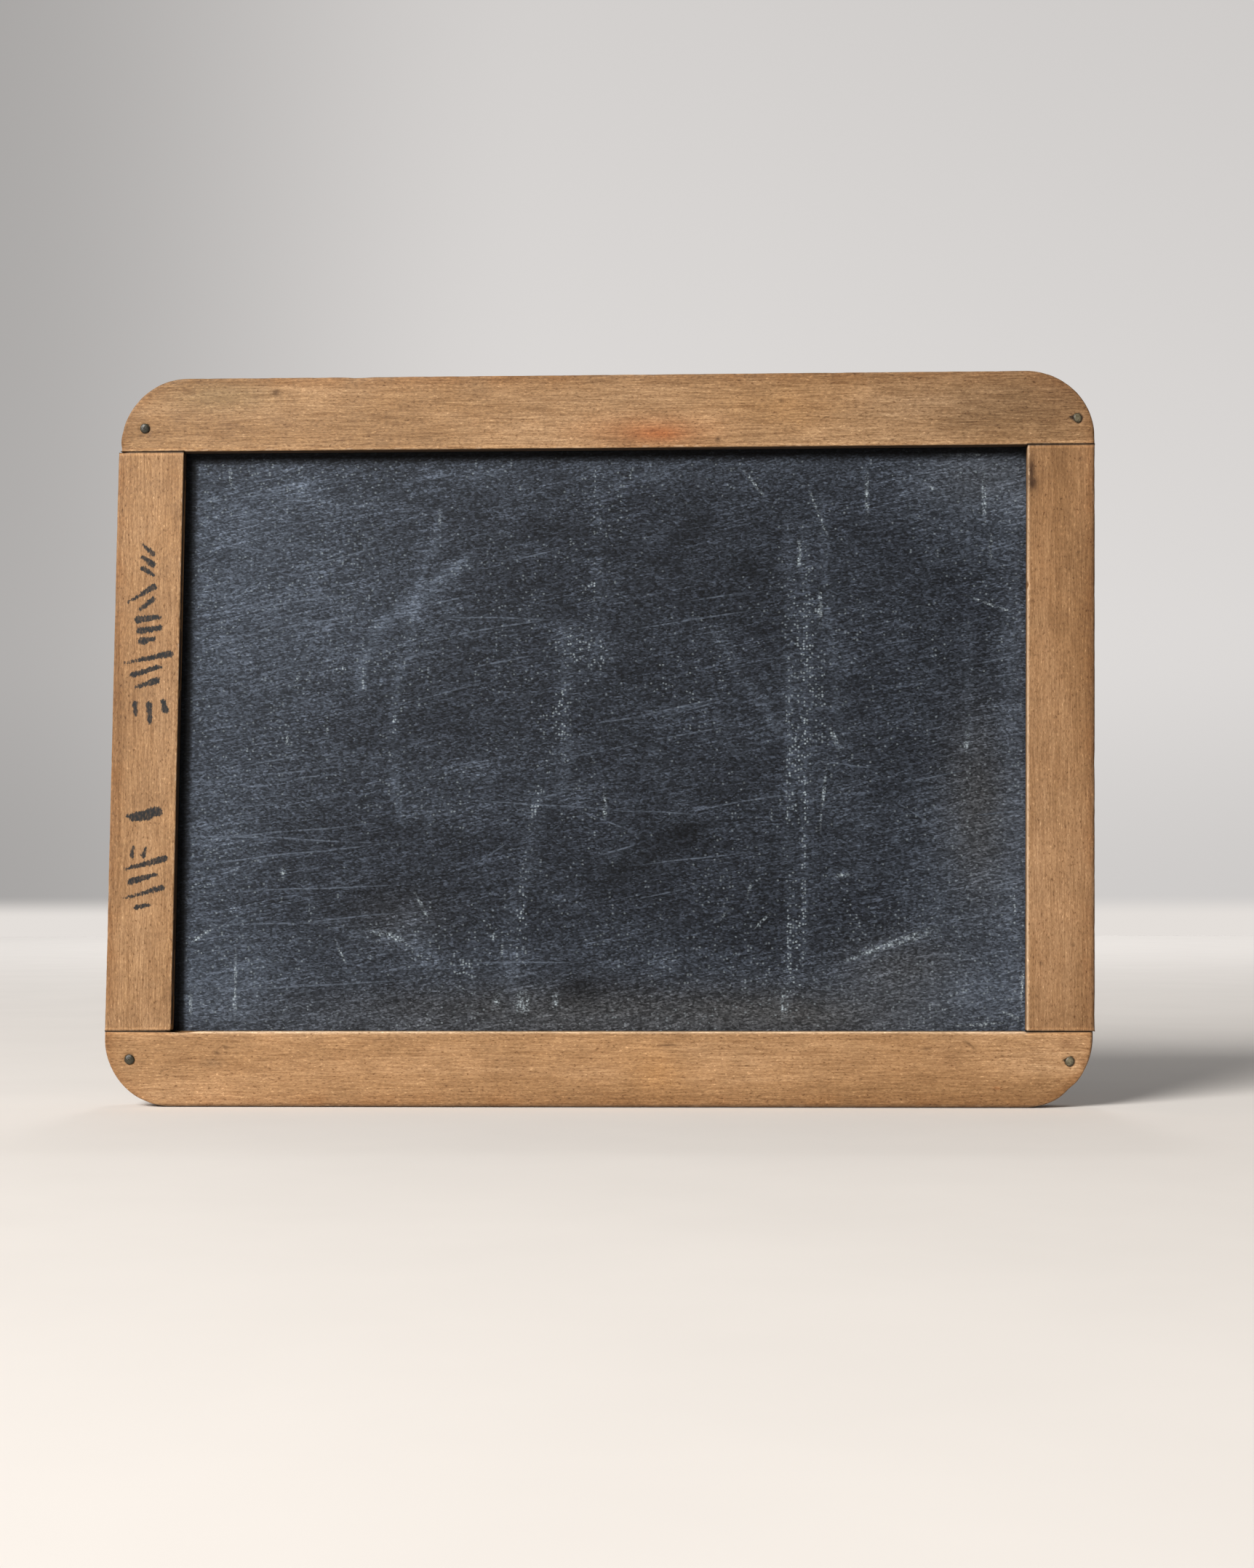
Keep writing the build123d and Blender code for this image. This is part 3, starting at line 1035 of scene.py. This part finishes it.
def wood_material(name, grain, seed, tint, contrast):
    """Old close-grained wood: streaks and flecks along the grain, patina with painted highlights, bounce
    light and shade, grime with painted shade, a painted contact shadow at the bottom, worn arrises, ink.
    """
    g = material_graph(name, 0.25)
    place = g.place()

    def along_grain(long, across, shift):
        lengths = [across] * 3
        lengths[grain] = long
        return g.stretched(place, tuple(lengths), seed + shift)

    span = NOISE_SPAN / contrast
    tone = g.noise(along_grain(60.0, 11.0, 0.0), 3.0)
    colour = g.mix(g.range(tone, 0.32, 0.52), WOOD_DEEP, WOOD_MID)
    colour = g.mix(g.range(tone, 0.50, 0.72), colour, WOOD_LIGHT)
    colour = g.mix(1.0, colour, tint, "MULTIPLY")
    streak = g.noise(along_grain(34.0, 0.9, 3.1), 3.0, 0.6)
    colour = g.shade(colour, streak, *STREAK_TINTS)
    line = g.noise(along_grain(6.5, 0.38, 5.3), 2.0)
    colour = g.shade(colour, line, *LINE_TINTS, span)
    fibre = g.noise(along_grain(1.1, 0.40, 7.7), 2.0, 0.7)
    colour = g.shade(colour, fibre, *FIBRE_TINTS, span)
    fleck = g.noise(along_grain(0.9, 0.40, 12.3), 1.0)
    colour = g.tint(g.range(fleck, 0.38, 0.24, 0.0, 0.9, smooth=True), colour, DARK_FLECK_TINT)
    colour = g.tint(g.range(fleck, 0.64, 0.78, smooth=True), colour, LIGHT_FLECK_TINT)
    # Colour factors with stains, painted highlights, painted bounce light and painted shade.
    colour = g.mix(1.0, colour, g.attribute("patina_and_light", "Color"), "MULTIPLY")
    mottle = g.noise(g.stretched(place, 8.0, seed + 20), 3.0, 0.55)
    colour = g.shade(colour, mottle, *MOTTLE_TINTS)

    outer = g.attribute("from_outer")
    handled = g.range(outer, 3.4, 0.2, 0.0, 0.62) * g.range(mottle, 0.35, 0.62, 0.30, 1.0)
    colour = g.tint(handled, colour, HANDLED_TINT)
    # Painted contact shadow: the wood darkens over its lowest millimetre, next to the table.
    _, _, height = g.parts(place)
    colour = g.mix(g.range(height, 1.1, 0.2, 0.0, 0.75), colour, WOOD_GRIME_AND_SHADE)
    chipped = g.noise(along_grain(2.4, 0.8, 17.0), 3.0, 0.6)
    rubbed = g.attribute("wear") * g.range(outer, 0.5, 3.0, 0.25, 1.0)
    colour = g.mix(rubbed * g.range(chipped, 0.50, 0.66, 0.04, 0.60), colour, WOOD_WORN)
    ragged = g.noise(along_grain(1.0, 0.5, 31.0), 3.0, 0.65)
    from_ink = g.attribute("ink") + g.range(ragged, 0.25, 0.75, -0.35, 0.45)
    ink_share = g.range(from_ink, 0.10, -0.14) * g.range(fleck, 0.45, 0.72, 0.99, 0.80)
    colour = g.mix(ink_share, colour, INK)
    # Dirt in the joints and round the nails, and painted shade on the left and top walls beside the slate.
    colour = g.mix(g.range(g.attribute("grime_and_shade"), 0.15, 0.85, 0.0, 0.95), colour, WOOD_GRIME_AND_SHADE)

    roughness = g.range(mottle + fibre, 0.6, 1.4, 0.52, 0.78)
    relief = fibre * 0.6 + g.range(fleck, 0.36, 0.22, 0.0, -0.5)
    return g.finish(colour, roughness, Normal=g.bump(relief, 0.06, 0.8, Normal=g.bump(streak, 0.10, 0.5)))


# Single scratches on the slate: (X, Z, length, turn, strength).
SCRATCHES = (
    (-88.5, 152.6, 24, 6, 0.8),
    (-63, 137.3, 22, 14, 0.8),
    (-78, 125.6, 31, 8, 0.8),
    (-92, 116.5, 15, 17, 0.7),
    (-84, 119, 13, 22, 0.7),
    (-72, 120.5, 30, 8, 0.7),
    (-88, 139.5, 22, -10, 0.6),
    (-37, 126, 14, 11, 0.8),
    (-14.5, 137.5, 12, 14, 0.8),
    (-28, 118.5, 34, 10, 0.8),
    (-23, 121.5, 33, -1, 0.6),
    (23.5, 120.8, 29, 9, 0.8),
    (30.5, 126.6, 16, 9, 0.6),
    (-95.5, 109.2, 11, 14, 0.7),
    (-78, 109.2, 13, 11, 0.6),
    (-79, 86.6, 18, 11, 0.7),
    (-74, 83.8, 20, 7, 0.8),
    (-71, 82.6, 21, 6, 0.7),
    (-79.5, 67, 56, -2, 0.8),
    (-78, 68.6, 46, 6, 0.8),
    (-43, 112.6, 11, 12, 0.7),
    (-23.5, 110.5, 17, 13, 0.8),
    (-37, 103, 19, 13, 0.6),
    (5, 96.4, 11, 7, 0.7),
    (1.5, 88.8, 18, 12, 0.7),
    (-11.5, 77.4, 9, 11, 0.6),
    (-10, 74.8, 42, -3, 1),
    (3, 71, 15, -20, 0.7),
    (20.7, 99.5, 24, 12, 0.8),
    (26, 99.6, 16, 13, 0.6),
    (23.4, 93, 21, 9, 0.7),
    (17, 73.5, 15, -4, 0.6),
    (36, 76, 25, 9, 0.8),
    (61.6, 85, 12, -9, 0.7),
    (97.6, 110.5, 8, 12, 1),
    (83.8, 81.5, 14, 11, 0.7),
    (99.7, 72.6, 12, 7, 0.8),
    (79.7, 71.6, 14, -36, 0.6),
    (-76, 63, 57, 7, 0.9),
    (-71, 54.5, 48, 3, 0.8),
    (-78, 45.8, 33, 2, 0.7),
    (-61, 47.4, 28, 6, 0.6),
    (-68, 30.5, 42, 3, 0.7),
    (-26.2, 62.8, 9, 31, 0.8),
    (4.5, 64.3, 11, 17, 0.9),
    (23.8, 62.1, 25, 6, 0.9),
    (16.1, 53.2, 13, 11, 0.7),
    (-18, 36.3, 27, 1, 0.8),
)

# Dotted fields and rows of chalk: (X, Z, length, thickness, turn, strength).
CHALK_DOTS = (
    (-1.2, 155.8, 8.5, 0.9, 90, 0.6),
    (7.7, 156.4, 9, 0.9, 90, 0.6),
    (-2.1, 128.3, 8, 5, 10, 0.5),
    (-6, 113, 17, 15, 0, 0.44),
    (-58.9, 104.1, 11, 2.2, 90, 0.56),
    (-51.4, 94.9, 11, 2, 90, 0.58),
    (-51.6, 86.3, 5, 3, 0, 0.56),
    (-64.4, 108.1, 4.5, 2, 0, 0.56),
    (-9.8, 98, 30, 8, 87, 0.46),
    (-9.4, 101, 22, 1.8, 90, 0.58),
    (0.2, 111.2, 11, 2, 90, 0.58),
    (-15.4, 76, 26, 4, 76, 0.50),
    (-19.5, 46, 40, 4, 88, 0.52),
    (50.6, 112, 76, 13, 90, 0.40),
    (48.8, 84, 40, 9, 90, 0.45),
    (48.2, 40, 44, 7.5, 90, 0.45),
    (46.6, 84, 66, 2.1, 90, 0.58),
    (50.4, 80, 80, 2.7, 89, 0.59),
    (54.9, 100.3, 34, 2.2, 90, 0.52),
    (46.4, 40, 44, 2.2, 90, 0.58),
    (50, 46, 34, 2.4, 90, 0.58),
    (51.4, 111.5, 4, 7, 90, 0.45),
    (-26.5, 42, 5, 5, 0, 0.5),
    (-72.1, 43.5, 23, 0.7, 90, 0.6),
    (101.7, 47.6, 11, 1.2, 90, 0.6),
    (-34, 33.5, 12, 12, 0, 0.4),
)

# Crisp streaks of chalk and scrapes: (X, Z, length, thickness, turn, strength).
CHALK_STREAKS = (
    (-92.8, 157, 6.5, 0.9, 95, 0.9),
    (-40.1, 145.6, 5.5, 0.8, 90, 0.7),
    (38.2, 154.2, 10, 0.9, -52, 0.9),
    (54.2, 146.6, 13, 0.9, -68, 0.8),
    (66.3, 151, 13, 1.2, 90, 0.8),
    (49.4, 136.2, 9, 1.4, 90, 0.8),
    (54.5, 122.7, 10, 1.4, 90, 0.8),
    (95.3, 150, 13, 1.4, 90, 0.7),
    (96.7, 137.6, 7, 1.2, 90, 0.8),
    (91.5, 160.8, 15, 0.9, 0, 0.8),
    (82.8, 152.2, 3.2, 0.8, -35, 0.9),
    (96.4, 123.4, 12, 0.8, -21, 0.8),
    (-75.6, 105.6, 4.4, 0.8, 70, 0.9),
    (-68, 93.8, 6.4, 0.8, 90, 0.8),
    (-78.1, 90.2, 3.6, 0.8, 83, 0.9),
    (1.1, 74, 7, 1.4, 90, 0.8),
    (55, 76, 18, 0.9, 84, 0.9),
    (57.8, 90.5, 7, 1.4, -68, 0.9),
    (-44.3, 49.2, 8, 1, -62, 1),
    (-24.3, 38, 6, 0.9, 88, 0.9),
    (-19.3, 25, 7, 4.2, 90, 0.8),
    (-25.6, 26, 5, 2.2, 70, 0.7),
    (-11.2, 25.6, 4.6, 1.6, 90, 1),
    (-90.5, 30, 17, 0.8, 90, 1),
    (-90.6, 25.4, 4, 1.4, 90, 1),
    (-101.6, 24.8, 8, 0.9, 90, 0.8),
    (-99, 41.9, 7, 0.9, 34, 0.9),
    (-78.7, 57.6, 4, 1.6, 78, 0.8),
    (-64.4, 37.8, 7, 0.9, -66, 0.8),
    (-52.5, 41.8, 11, 1.8, -18, 0.8),
    (59.4, 56.3, 4, 1.6, 7, 1),
    (30.8, 47.2, 4, 0.8, 42, 0.9),
    (36.8, 53.4, 4, 0.8, 72, 0.8),
    (40, 45.6, 6, 0.8, 43, 0.9),
    (45.1, 24.8, 7, 2, 90, 1),
    (71, 39.6, 24, 1.6, 21, 1),
    (76, 41, 14, 2, 17, 0.7),
    (103.2, 29, 11, 0.8, 86, 1),
    (100.2, 22.4, 5, 0.9, -22, 1),
    (92, 20, 14, 0.9, 3, 0.9),
    (90.3, 89.4, 7, 1.4, 84, 0.8),
    (-2.1, 84.7, 1.4, 0.9, 70, 1),
)

STROKE_REACH = 0.62  # a stroke fades out at this share of its length and thickness from its middle
NO_DEPTH_LIMIT = 1e5


def strokes(g, place, marks, hardness):
    """The strongest of many tapered strokes at each point of the X-Z plane, from 0 to 1."""
    ovals = []
    for x, z, length, thickness, turn, strength in marks:
        reach = (length * STROKE_REACH, NO_DEPTH_LIMIT, thickness * STROKE_REACH)
        local = g.mapping(place, (x, 0.0, z), turn, reach)
        oval = g.node("TexGradient", {"Vector": local}, "Fac", gradient_type="SPHERICAL")
        ovals.append(oval * (strength * hardness))
    return g.math("MINIMUM", g.largest(*ovals), 1.0)


SLATE_DARK = (0.0106, 0.0130, 0.0182)
SLATE_BASE = (0.0170, 0.0208, 0.0282)
SLATE_DUST = (0.118, 0.144, 0.188)
SLATE_FILM = (0.048, 0.046, 0.042)
CHALK_WHITE = (0.40, 0.47, 0.52)
SMUDGE_TINT = (0.36, 0.36, 0.36)
# The tint below and one of the covers give the painted shadow beside the frame's walls.
SHADOW_TINT = (0.07, 0.07, 0.07)
SCRATCH_THICKNESS = 0.42
DUST_COVER, FILM_COVER, SCRATCH_COVER, SHADOW_COVER = 0.45, 0.55, 0.60, 0.96
# How far each pattern lightens or darkens the stone, in doublings of its colour.
GRAIN_DEPTH, BRUSHED_DEPTH, MINERAL_DEPTH, HATCH_DEPTH, SHADE_LOSS = 3.4, 1.7, 2.6, 1.30, 0.12
# Layers of fine hatching: turn, line length and spacing, place in the noise, and strength.
HATCHING = (
    (12, 26, 0.50, 0, 1),
    (8, 18, 0.46, 40, 0.9),
    (17, 14, 0.48, 80, 0.8),
    (3, 22, 0.52, 160, 0.7),
    (-8, 18, 0.50, 120, 0.6),
    (24, 10, 0.48, 200, 0.6),
)


def slate_place(g):
    """The place on the slate, upside down at its back as the stored marks are, and the depth."""
    x, depth, z = g.parts(g.place())
    height = g.math("SUBTRACT", middle_height, z) * g.math("SIGN", depth) + middle_height
    return g.joined(x, depth, height), depth


def slate_ground(g, place, haze):
    """The stone's colour under its dust, brown film and smudges, and how much dust lies on it."""
    cloud = g.noise(g.stretched(place, (14.0, 14.0, 8.0), 2.0), 4.0, 0.62)
    dust = haze * g.range(cloud, 0.30, 0.70, 0.65, 1.20)
    colour = g.mix(g.range(cloud, 0.30, 0.70), SLATE_DARK, SLATE_BASE)
    colour = g.mix(dust * DUST_COVER, colour, SLATE_DUST)
    colour = g.mix(g.attribute("film") * FILM_COVER, colour, SLATE_FILM)
    smudge = g.attribute("smudge") * g.range(cloud, 0.75, 0.35, 0.6, 1.1)
    return g.tint(smudge, colour, SMUDGE_TINT), dust


def slate_hatching(g, curved):
    """Fine parallel scratches in several directions, from 0 to 1."""
    layers = []
    for turn, long, across, shift, share in HATCHING:
        layer = g.noise(g.mapping(curved, (shift, 0.0, shift), turn, (long, 4.0, across)), 0.0)
        layers.append(g.range(layer, 0.60, 0.74, smooth=True) * share)
    return g.largest(*layers)


def slate_shade(g, place, curved, haze, grain, hatch):
    """How much the grain, brushing and hatching lighten the stone, in doublings of its colour."""
    brushed = g.noise(g.mapping(curved, (31.0, 0.0, 17.0), 8.0, (3.2, 4.0, 0.35)), 1.0)
    _, mineral, _ = g.cells(curved, 0.56, 0.34)
    cluster = g.noise(g.stretched(place, (20.0, 20.0, 9.0), 60.0), 2.0)
    density = g.range(haze + g.range(cluster, 0.36, 0.64), 0.0, 1.2, 0.36, 1.0)
    total = (grain - 0.5) * GRAIN_DEPTH + (brushed - 0.5) * BRUSHED_DEPTH
    total = total + (mineral - 0.5) * MINERAL_DEPTH + hatch * density * HATCH_DEPTH
    return (total - SHADE_LOSS) * g.range(haze, 0.0, 0.6, 1.0, 0.68)


def slate_chalk(g, colour, place, depth, haze, grain, broken):
    """Adds chalk: dotted rows, crisp streaks and scattered specks, all fainter at the back."""
    from_speck, chance, size = g.cells(place, 0.74, 0.66)
    drift = g.noise(g.stretched(place, 22.0, 44.0), 3.0, 0.6)
    scatter = g.range(drift, 0.42, 0.68, 0.12, 0.21) + haze * 0.08
    front = g.range(depth, -1.0, 1.0, 1.0, 0.35)
    dots = strokes(g, place, CHALK_DOTS, 1.5) * g.range(broken, 0.34, 0.60, 0.50, 1.0) * front
    streaks = strokes(g, place, CHALK_STREAKS, 1.7) * g.range(broken, 0.38, 0.60, 0.15, 1.0) * front
    trace = g.largest(dots, streaks, scatter)
    filled = g.math("LESS_THAN", chance, g.range(trace, 0.12, 0.9, 0.0, 0.80))
    chalk = g.range(from_speck, 0.50, 0.20, smooth=True) * filled * g.range(size, 0.0, 1.0, 0.35, 1.0)
    film = g.range(trace, 0.3, 1.0) * g.range(broken, 0.3, 0.7, 0.01, 0.06)
    colour = g.mix(film, colour, SLATE_DUST)
    colour = g.mix(chalk * g.range(trace, 0.15, 0.85, 0.26, 0.88), colour, CHALK_WHITE)
    colour = g.mix(streaks * g.range(grain, 0.46, 0.62, 0.0, 0.46), colour, CHALK_WHITE)
    return colour, chalk


def slate_material():
    """Dark blue-grey slate: dusty haze, smudges, dense fine scratches and broken traces of chalk."""
    g = material_graph("slate_stone", 0.12)
    place, depth = slate_place(g)
    bend = g.noise(g.stretched(place, 30.0, 5.0), 1.0, output="Color")
    curved = g.vector("ADD", place, g.vector("SCALE", bend, Scale=2.0))
    haze = g.attribute("haze")
    grain = g.noise(g.stretched(place, (0.58, 0.58, 0.36), 9.0), 2.0, 0.8)
    broken = g.noise(g.stretched(place, 1.6, 17.0), 2.0, 0.6)

    colour, dust = slate_ground(g, place, haze)
    hatch = slate_hatching(g, curved)
    shade = slate_shade(g, place, curved, haze, grain, hatch)
    colour = g.vector("SCALE", colour, Scale=g.math("POWER", 2.0, shade))
    long_marks = [(x, z, length, SCRATCH_THICKNESS, turn, strength)
                  for x, z, length, turn, strength in SCRATCHES]
    scratch = strokes(g, curved, long_marks, 2.2) * g.range(broken, 0.36, 0.60, 0.05, 1.0)
    colour = g.mix(scratch * SCRATCH_COVER, colour, SLATE_DUST)
    colour, chalk = slate_chalk(g, colour, place, depth, haze, grain, broken)
    # Painted shadow: the slate goes dark beside the left and top walls, where the frame's shadow falls.
    colour = g.tint(g.attribute("painted_shadow") * SHADOW_COVER, colour, SHADOW_TINT)

    roughness = g.range(dust + chalk, 0.0, 1.0, 0.52, 0.85)
    relief = grain * 0.5 - g.largest(hatch, scratch)
    return g.finish(colour, roughness, Normal=g.bump(relief, 0.03, 0.6))


IRON_DARK = ((0.007, 0.006, 0.004), (0.040, 0.036, 0.022))
IRON_RUBBED = ((0.110, 0.090, 0.050), (0.270, 0.232, 0.150))
IRON_PIT = (0.012, 0.010, 0.008)
IRON_GLINT = (0.20, 0.185, 0.13)


def iron_material():
    """Old nail iron, tarnished brown with rubbed spots."""
    g = material_graph("nail_iron", 0.36)
    place = g.place()
    patch = g.noise(g.stretched(place, 0.9, 3.0), 3.0, 0.6)
    pit = g.noise(g.stretched(place, 0.22, 8.0), 2.0, 0.6)
    dark, rubbed = [g.mix(g.range(patch, 0.35, 0.65), *pair) for pair in (IRON_DARK, IRON_RUBBED)]
    colour = g.mix(g.attribute("worn"), dark, rubbed)
    colour = g.mix(g.range(pit, 0.45, 0.25), colour, IRON_PIT)
    colour = g.mix(g.range(pit, 0.66, 0.82), colour, IRON_GLINT)
    g.put(g.surface.inputs["Metallic"], g.range(patch, 0.50, 0.75, 0.0, 0.30))
    roughness = g.range(pit, 0.25, 0.75, 0.22, 0.42)
    return g.finish(colour, roughness, Normal=g.bump(pit, 0.06, 0.9, Normal=g.bump(patch, 0.10, 0.6)))


# ======== Stage, lights and camera ========
# Places and sizes on the stage are in metres, the camera's are in millimetres.
CAMERA_PLACE = (24.3, -535.1, 50.3)  # X, the distance from the frame's front face along Y, and Z
CAMERA_YAW = 1.883
CAMERA_PITCH = 3.073
CAMERA_ROLL = -0.097
CAMERA_LENS = 50.09

ROOM_DIM = (0.140, 0.136, 0.132)
WALL_PALE = (0.76, 0.735, 0.72)
TABLE_FAR = (0.775, 0.735, 0.700)
# Where the wall is pale and where the table's colour takes over, as ranges of the view's direction.
WALL_AHEAD, WALL_TOP = (0.2, 0.85), (0.80, 0.45)
WALL_LEFT, WALL_RIGHT = (-0.33, -0.06, 0.48, 1.0), (0.02, 0.28, 1.0, 0.93)
WALL_HIGH, WALL_LOW = (0.10, 0.42, 1.0, 0.80), (0.0, 0.13, 0.82, 1.0)
TABLE_EDGE, TABLE_AHEAD = (0.003, -0.007), (0.80, 0.93)
FLOOR_COLOUR = (0.795, 0.760, 0.728)
FLOOR_SHADED = 0.97
FLOOR_SIDE, FLOOR_FRONT, FLOOR_BACK = 9.0, -4.0, 2.6
KEY_DIRECTION = (-0.500, -0.690, 0.523)
KEY_DISTANCE = 1.8
KEY_SIZE = 0.86
KEY_POWER = 47.0
KEY_COLOUR = (1.0, 0.97, 0.93)
SPOT_PLACE = (0.0, 2.4, 4.2)
SPOT_ANGLE = 67.0
SPOT_RADIUS = 0.3
SPOT_POWER = 585.0


def add_camera():
    data = bpy.data.cameras.new("camera")
    data.lens = CAMERA_LENS
    data.sensor_width = 36.0
    data.clip_start = 0.01
    data.clip_end = 60.0
    camera = add_object("camera", data)
    x, ahead, z = CAMERA_PLACE
    turn = (Matrix.Rotation(math.radians(CAMERA_YAW), 4, "Z")
            @ Matrix.Rotation(math.radians(90 + CAMERA_PITCH), 4, "X")
            @ Matrix.Rotation(math.radians(CAMERA_ROLL), 4, "Z"))
    camera.matrix_world = Matrix.Translation(Vector((x, ahead - half_depth, z)) * MM) @ turn
    bpy.context.scene.camera = camera


def floor_material():
    """A matt, very slightly mottled table."""
    g = material_graph("floor_pale", 0.1)
    mottle = g.noise(g.stretched(g.place(), 60.0), 3.0, 0.6)
    shaded = tuple(FLOOR_SHADED * channel for channel in FLOOR_COLOUR)
    return g.finish(g.mix(g.range(mottle, 0.3, 0.7), shaded, FLOOR_COLOUR), 0.9)


def add_floor():
    """The table that the slate stands on, up to its far edge."""
    corners = [(-FLOOR_SIDE, FLOOR_FRONT, 0), (FLOOR_SIDE, FLOOR_FRONT, 0),
               (FLOOR_SIDE, FLOOR_BACK, 0), (-FLOOR_SIDE, FLOOR_BACK, 0)]
    mesh = bpy.data.meshes.new("floor")
    mesh.from_pydata(corners, [], [(0, 1, 2, 3)])
    mesh.materials.append(floor_material())
    sheet = add_object("floor", mesh)


def add_world():
    """A dim room whose far wall is pale: brightest behind the object, softer to its left and above.

    Just below the horizon the wall takes the table's colour, so that the table's far edge is soft."""
    world = bpy.data.worlds.new("studio")
    bpy.context.scene.world = world
    g = Graph(world, "Background")
    x, y, z = g.parts(g.node("TexCoord", {}, "Generated"))
    behind = g.range(y, *WALL_AHEAD, smooth=True) * g.range(z, *WALL_TOP, smooth=True)
    sideways = g.range(x, *WALL_LEFT, smooth=True) * g.range(x, *WALL_RIGHT)
    upwards = g.range(z, *WALL_HIGH) * g.range(z, *WALL_LOW, smooth=True)
    colour = g.mix(behind * sideways * upwards, ROOM_DIM, WALL_PALE)
    table = g.range(z, *TABLE_EDGE, smooth=True) * g.range(y, *TABLE_AHEAD, smooth=True)
    g.put(g.surface.inputs["Color"], g.mix(table, colour, TABLE_FAR))
    g.surface.inputs["Strength"].default_value = 1.0


def add_key_light():
    """A warm round light in front of the slate, to its upper left."""
    centre = Vector((0.0, 0.0, middle_height * MM))
    data = bpy.data.lights.new("key", "AREA")
    data.shape = "DISK"
    data.size = KEY_SIZE
    data.energy = KEY_POWER
    data.color = KEY_COLOUR
    light = add_object("key", data)
    light.location = centre + Vector(KEY_DIRECTION) * KEY_DISTANCE
    light.rotation_euler = (centre - light.location).to_track_quat("-Z", "Y").to_euler()


def add_table_spot():
    """A soft spot that shines straight down on the table behind the slate."""
    data = bpy.data.lights.new("table_spot", "SPOT")
    data.spot_size = math.radians(SPOT_ANGLE)
    data.spot_blend = 1.0
    data.shadow_soft_size = SPOT_RADIUS
    data.energy = SPOT_POWER
    add_object("table_spot", data).location = SPOT_PLACE


def set_colour_management():
    view = bpy.context.scene.view_settings
    view.view_transform = "Standard"
    view.look = "None"
    view.exposure = 0.0
    view.gamma = 1.0


# ======== The object ========
ALONG_X, ALONG_Z = 0, 2
NAIL_SHAPES = {  # squeeze across, turn of the squeeze in degrees, tilt, how worn its head is, seed
    "nail_top_left": (0.97, 0, 0.03, 0.04, 41),
    "nail_top_right": (0.84, 20, 0.12, 0.60, 52),
    "nail_bottom_left": (0.96, 60, 0.02, 0.10, 63),
    "nail_bottom_right": (0.88, -30, 0.06, 0.80, 74),
}


def add_wood():
    """The four members: mesh, grain, seed, tint of the wood and contrast of its grain. The bottom rail's
    lighter tint is partly painted bounce light from the table.
    """
    top = rail_mesh("top_rail_visual", 1, (0.5, 0.0))
    bottom = rail_mesh("bottom_rail_visual", -1, (0.0, 0.6))
    left = stile_mesh("left_stile_visual", -1)
    right = stile_mesh("right_stile_visual", 1)
    members = (
        ("top_rail", top, ALONG_X, 100, (0.92, 0.93, 0.94), 1.05),
        # The bottom rail's lighter tint is partly painted light bounced up from the table.
        ("bottom_rail", bottom, ALONG_X, 130, (1.12, 1.09, 1.05), 0.84),
        ("left_stile", left, ALONG_Z, 160, (0.95, 0.92, 0.89), 0.88),
        ("right_stile", right, ALONG_Z, 190, (0.89, 0.84, 0.80), 0.78),
    )
    for node, mesh, grain, seed, tint, contrast in members:
        weather_wood(mesh, grain, seed)
        mark_wood(mesh)
        material = wood_material("wood_" + node, grain, seed, tint, contrast)
        add_piece(node + "_visual", mesh, node, material)


def add_slate():
    mesh = slate_mesh()
    mark_slate(mesh)
    add_piece("slate_panel_visual", mesh, "slate_panel", slate_material())


def add_nails():
    iron = iron_material()
    for node in NAILS:
        mesh = nail_mesh(node, *NAIL_SHAPES[node])
        add_piece(node + "_visual", mesh, node, iron)


add_camera()
add_floor()
add_world()
add_key_light()
add_table_spot()
set_colour_management()
add_wood()
add_slate()
add_nails()
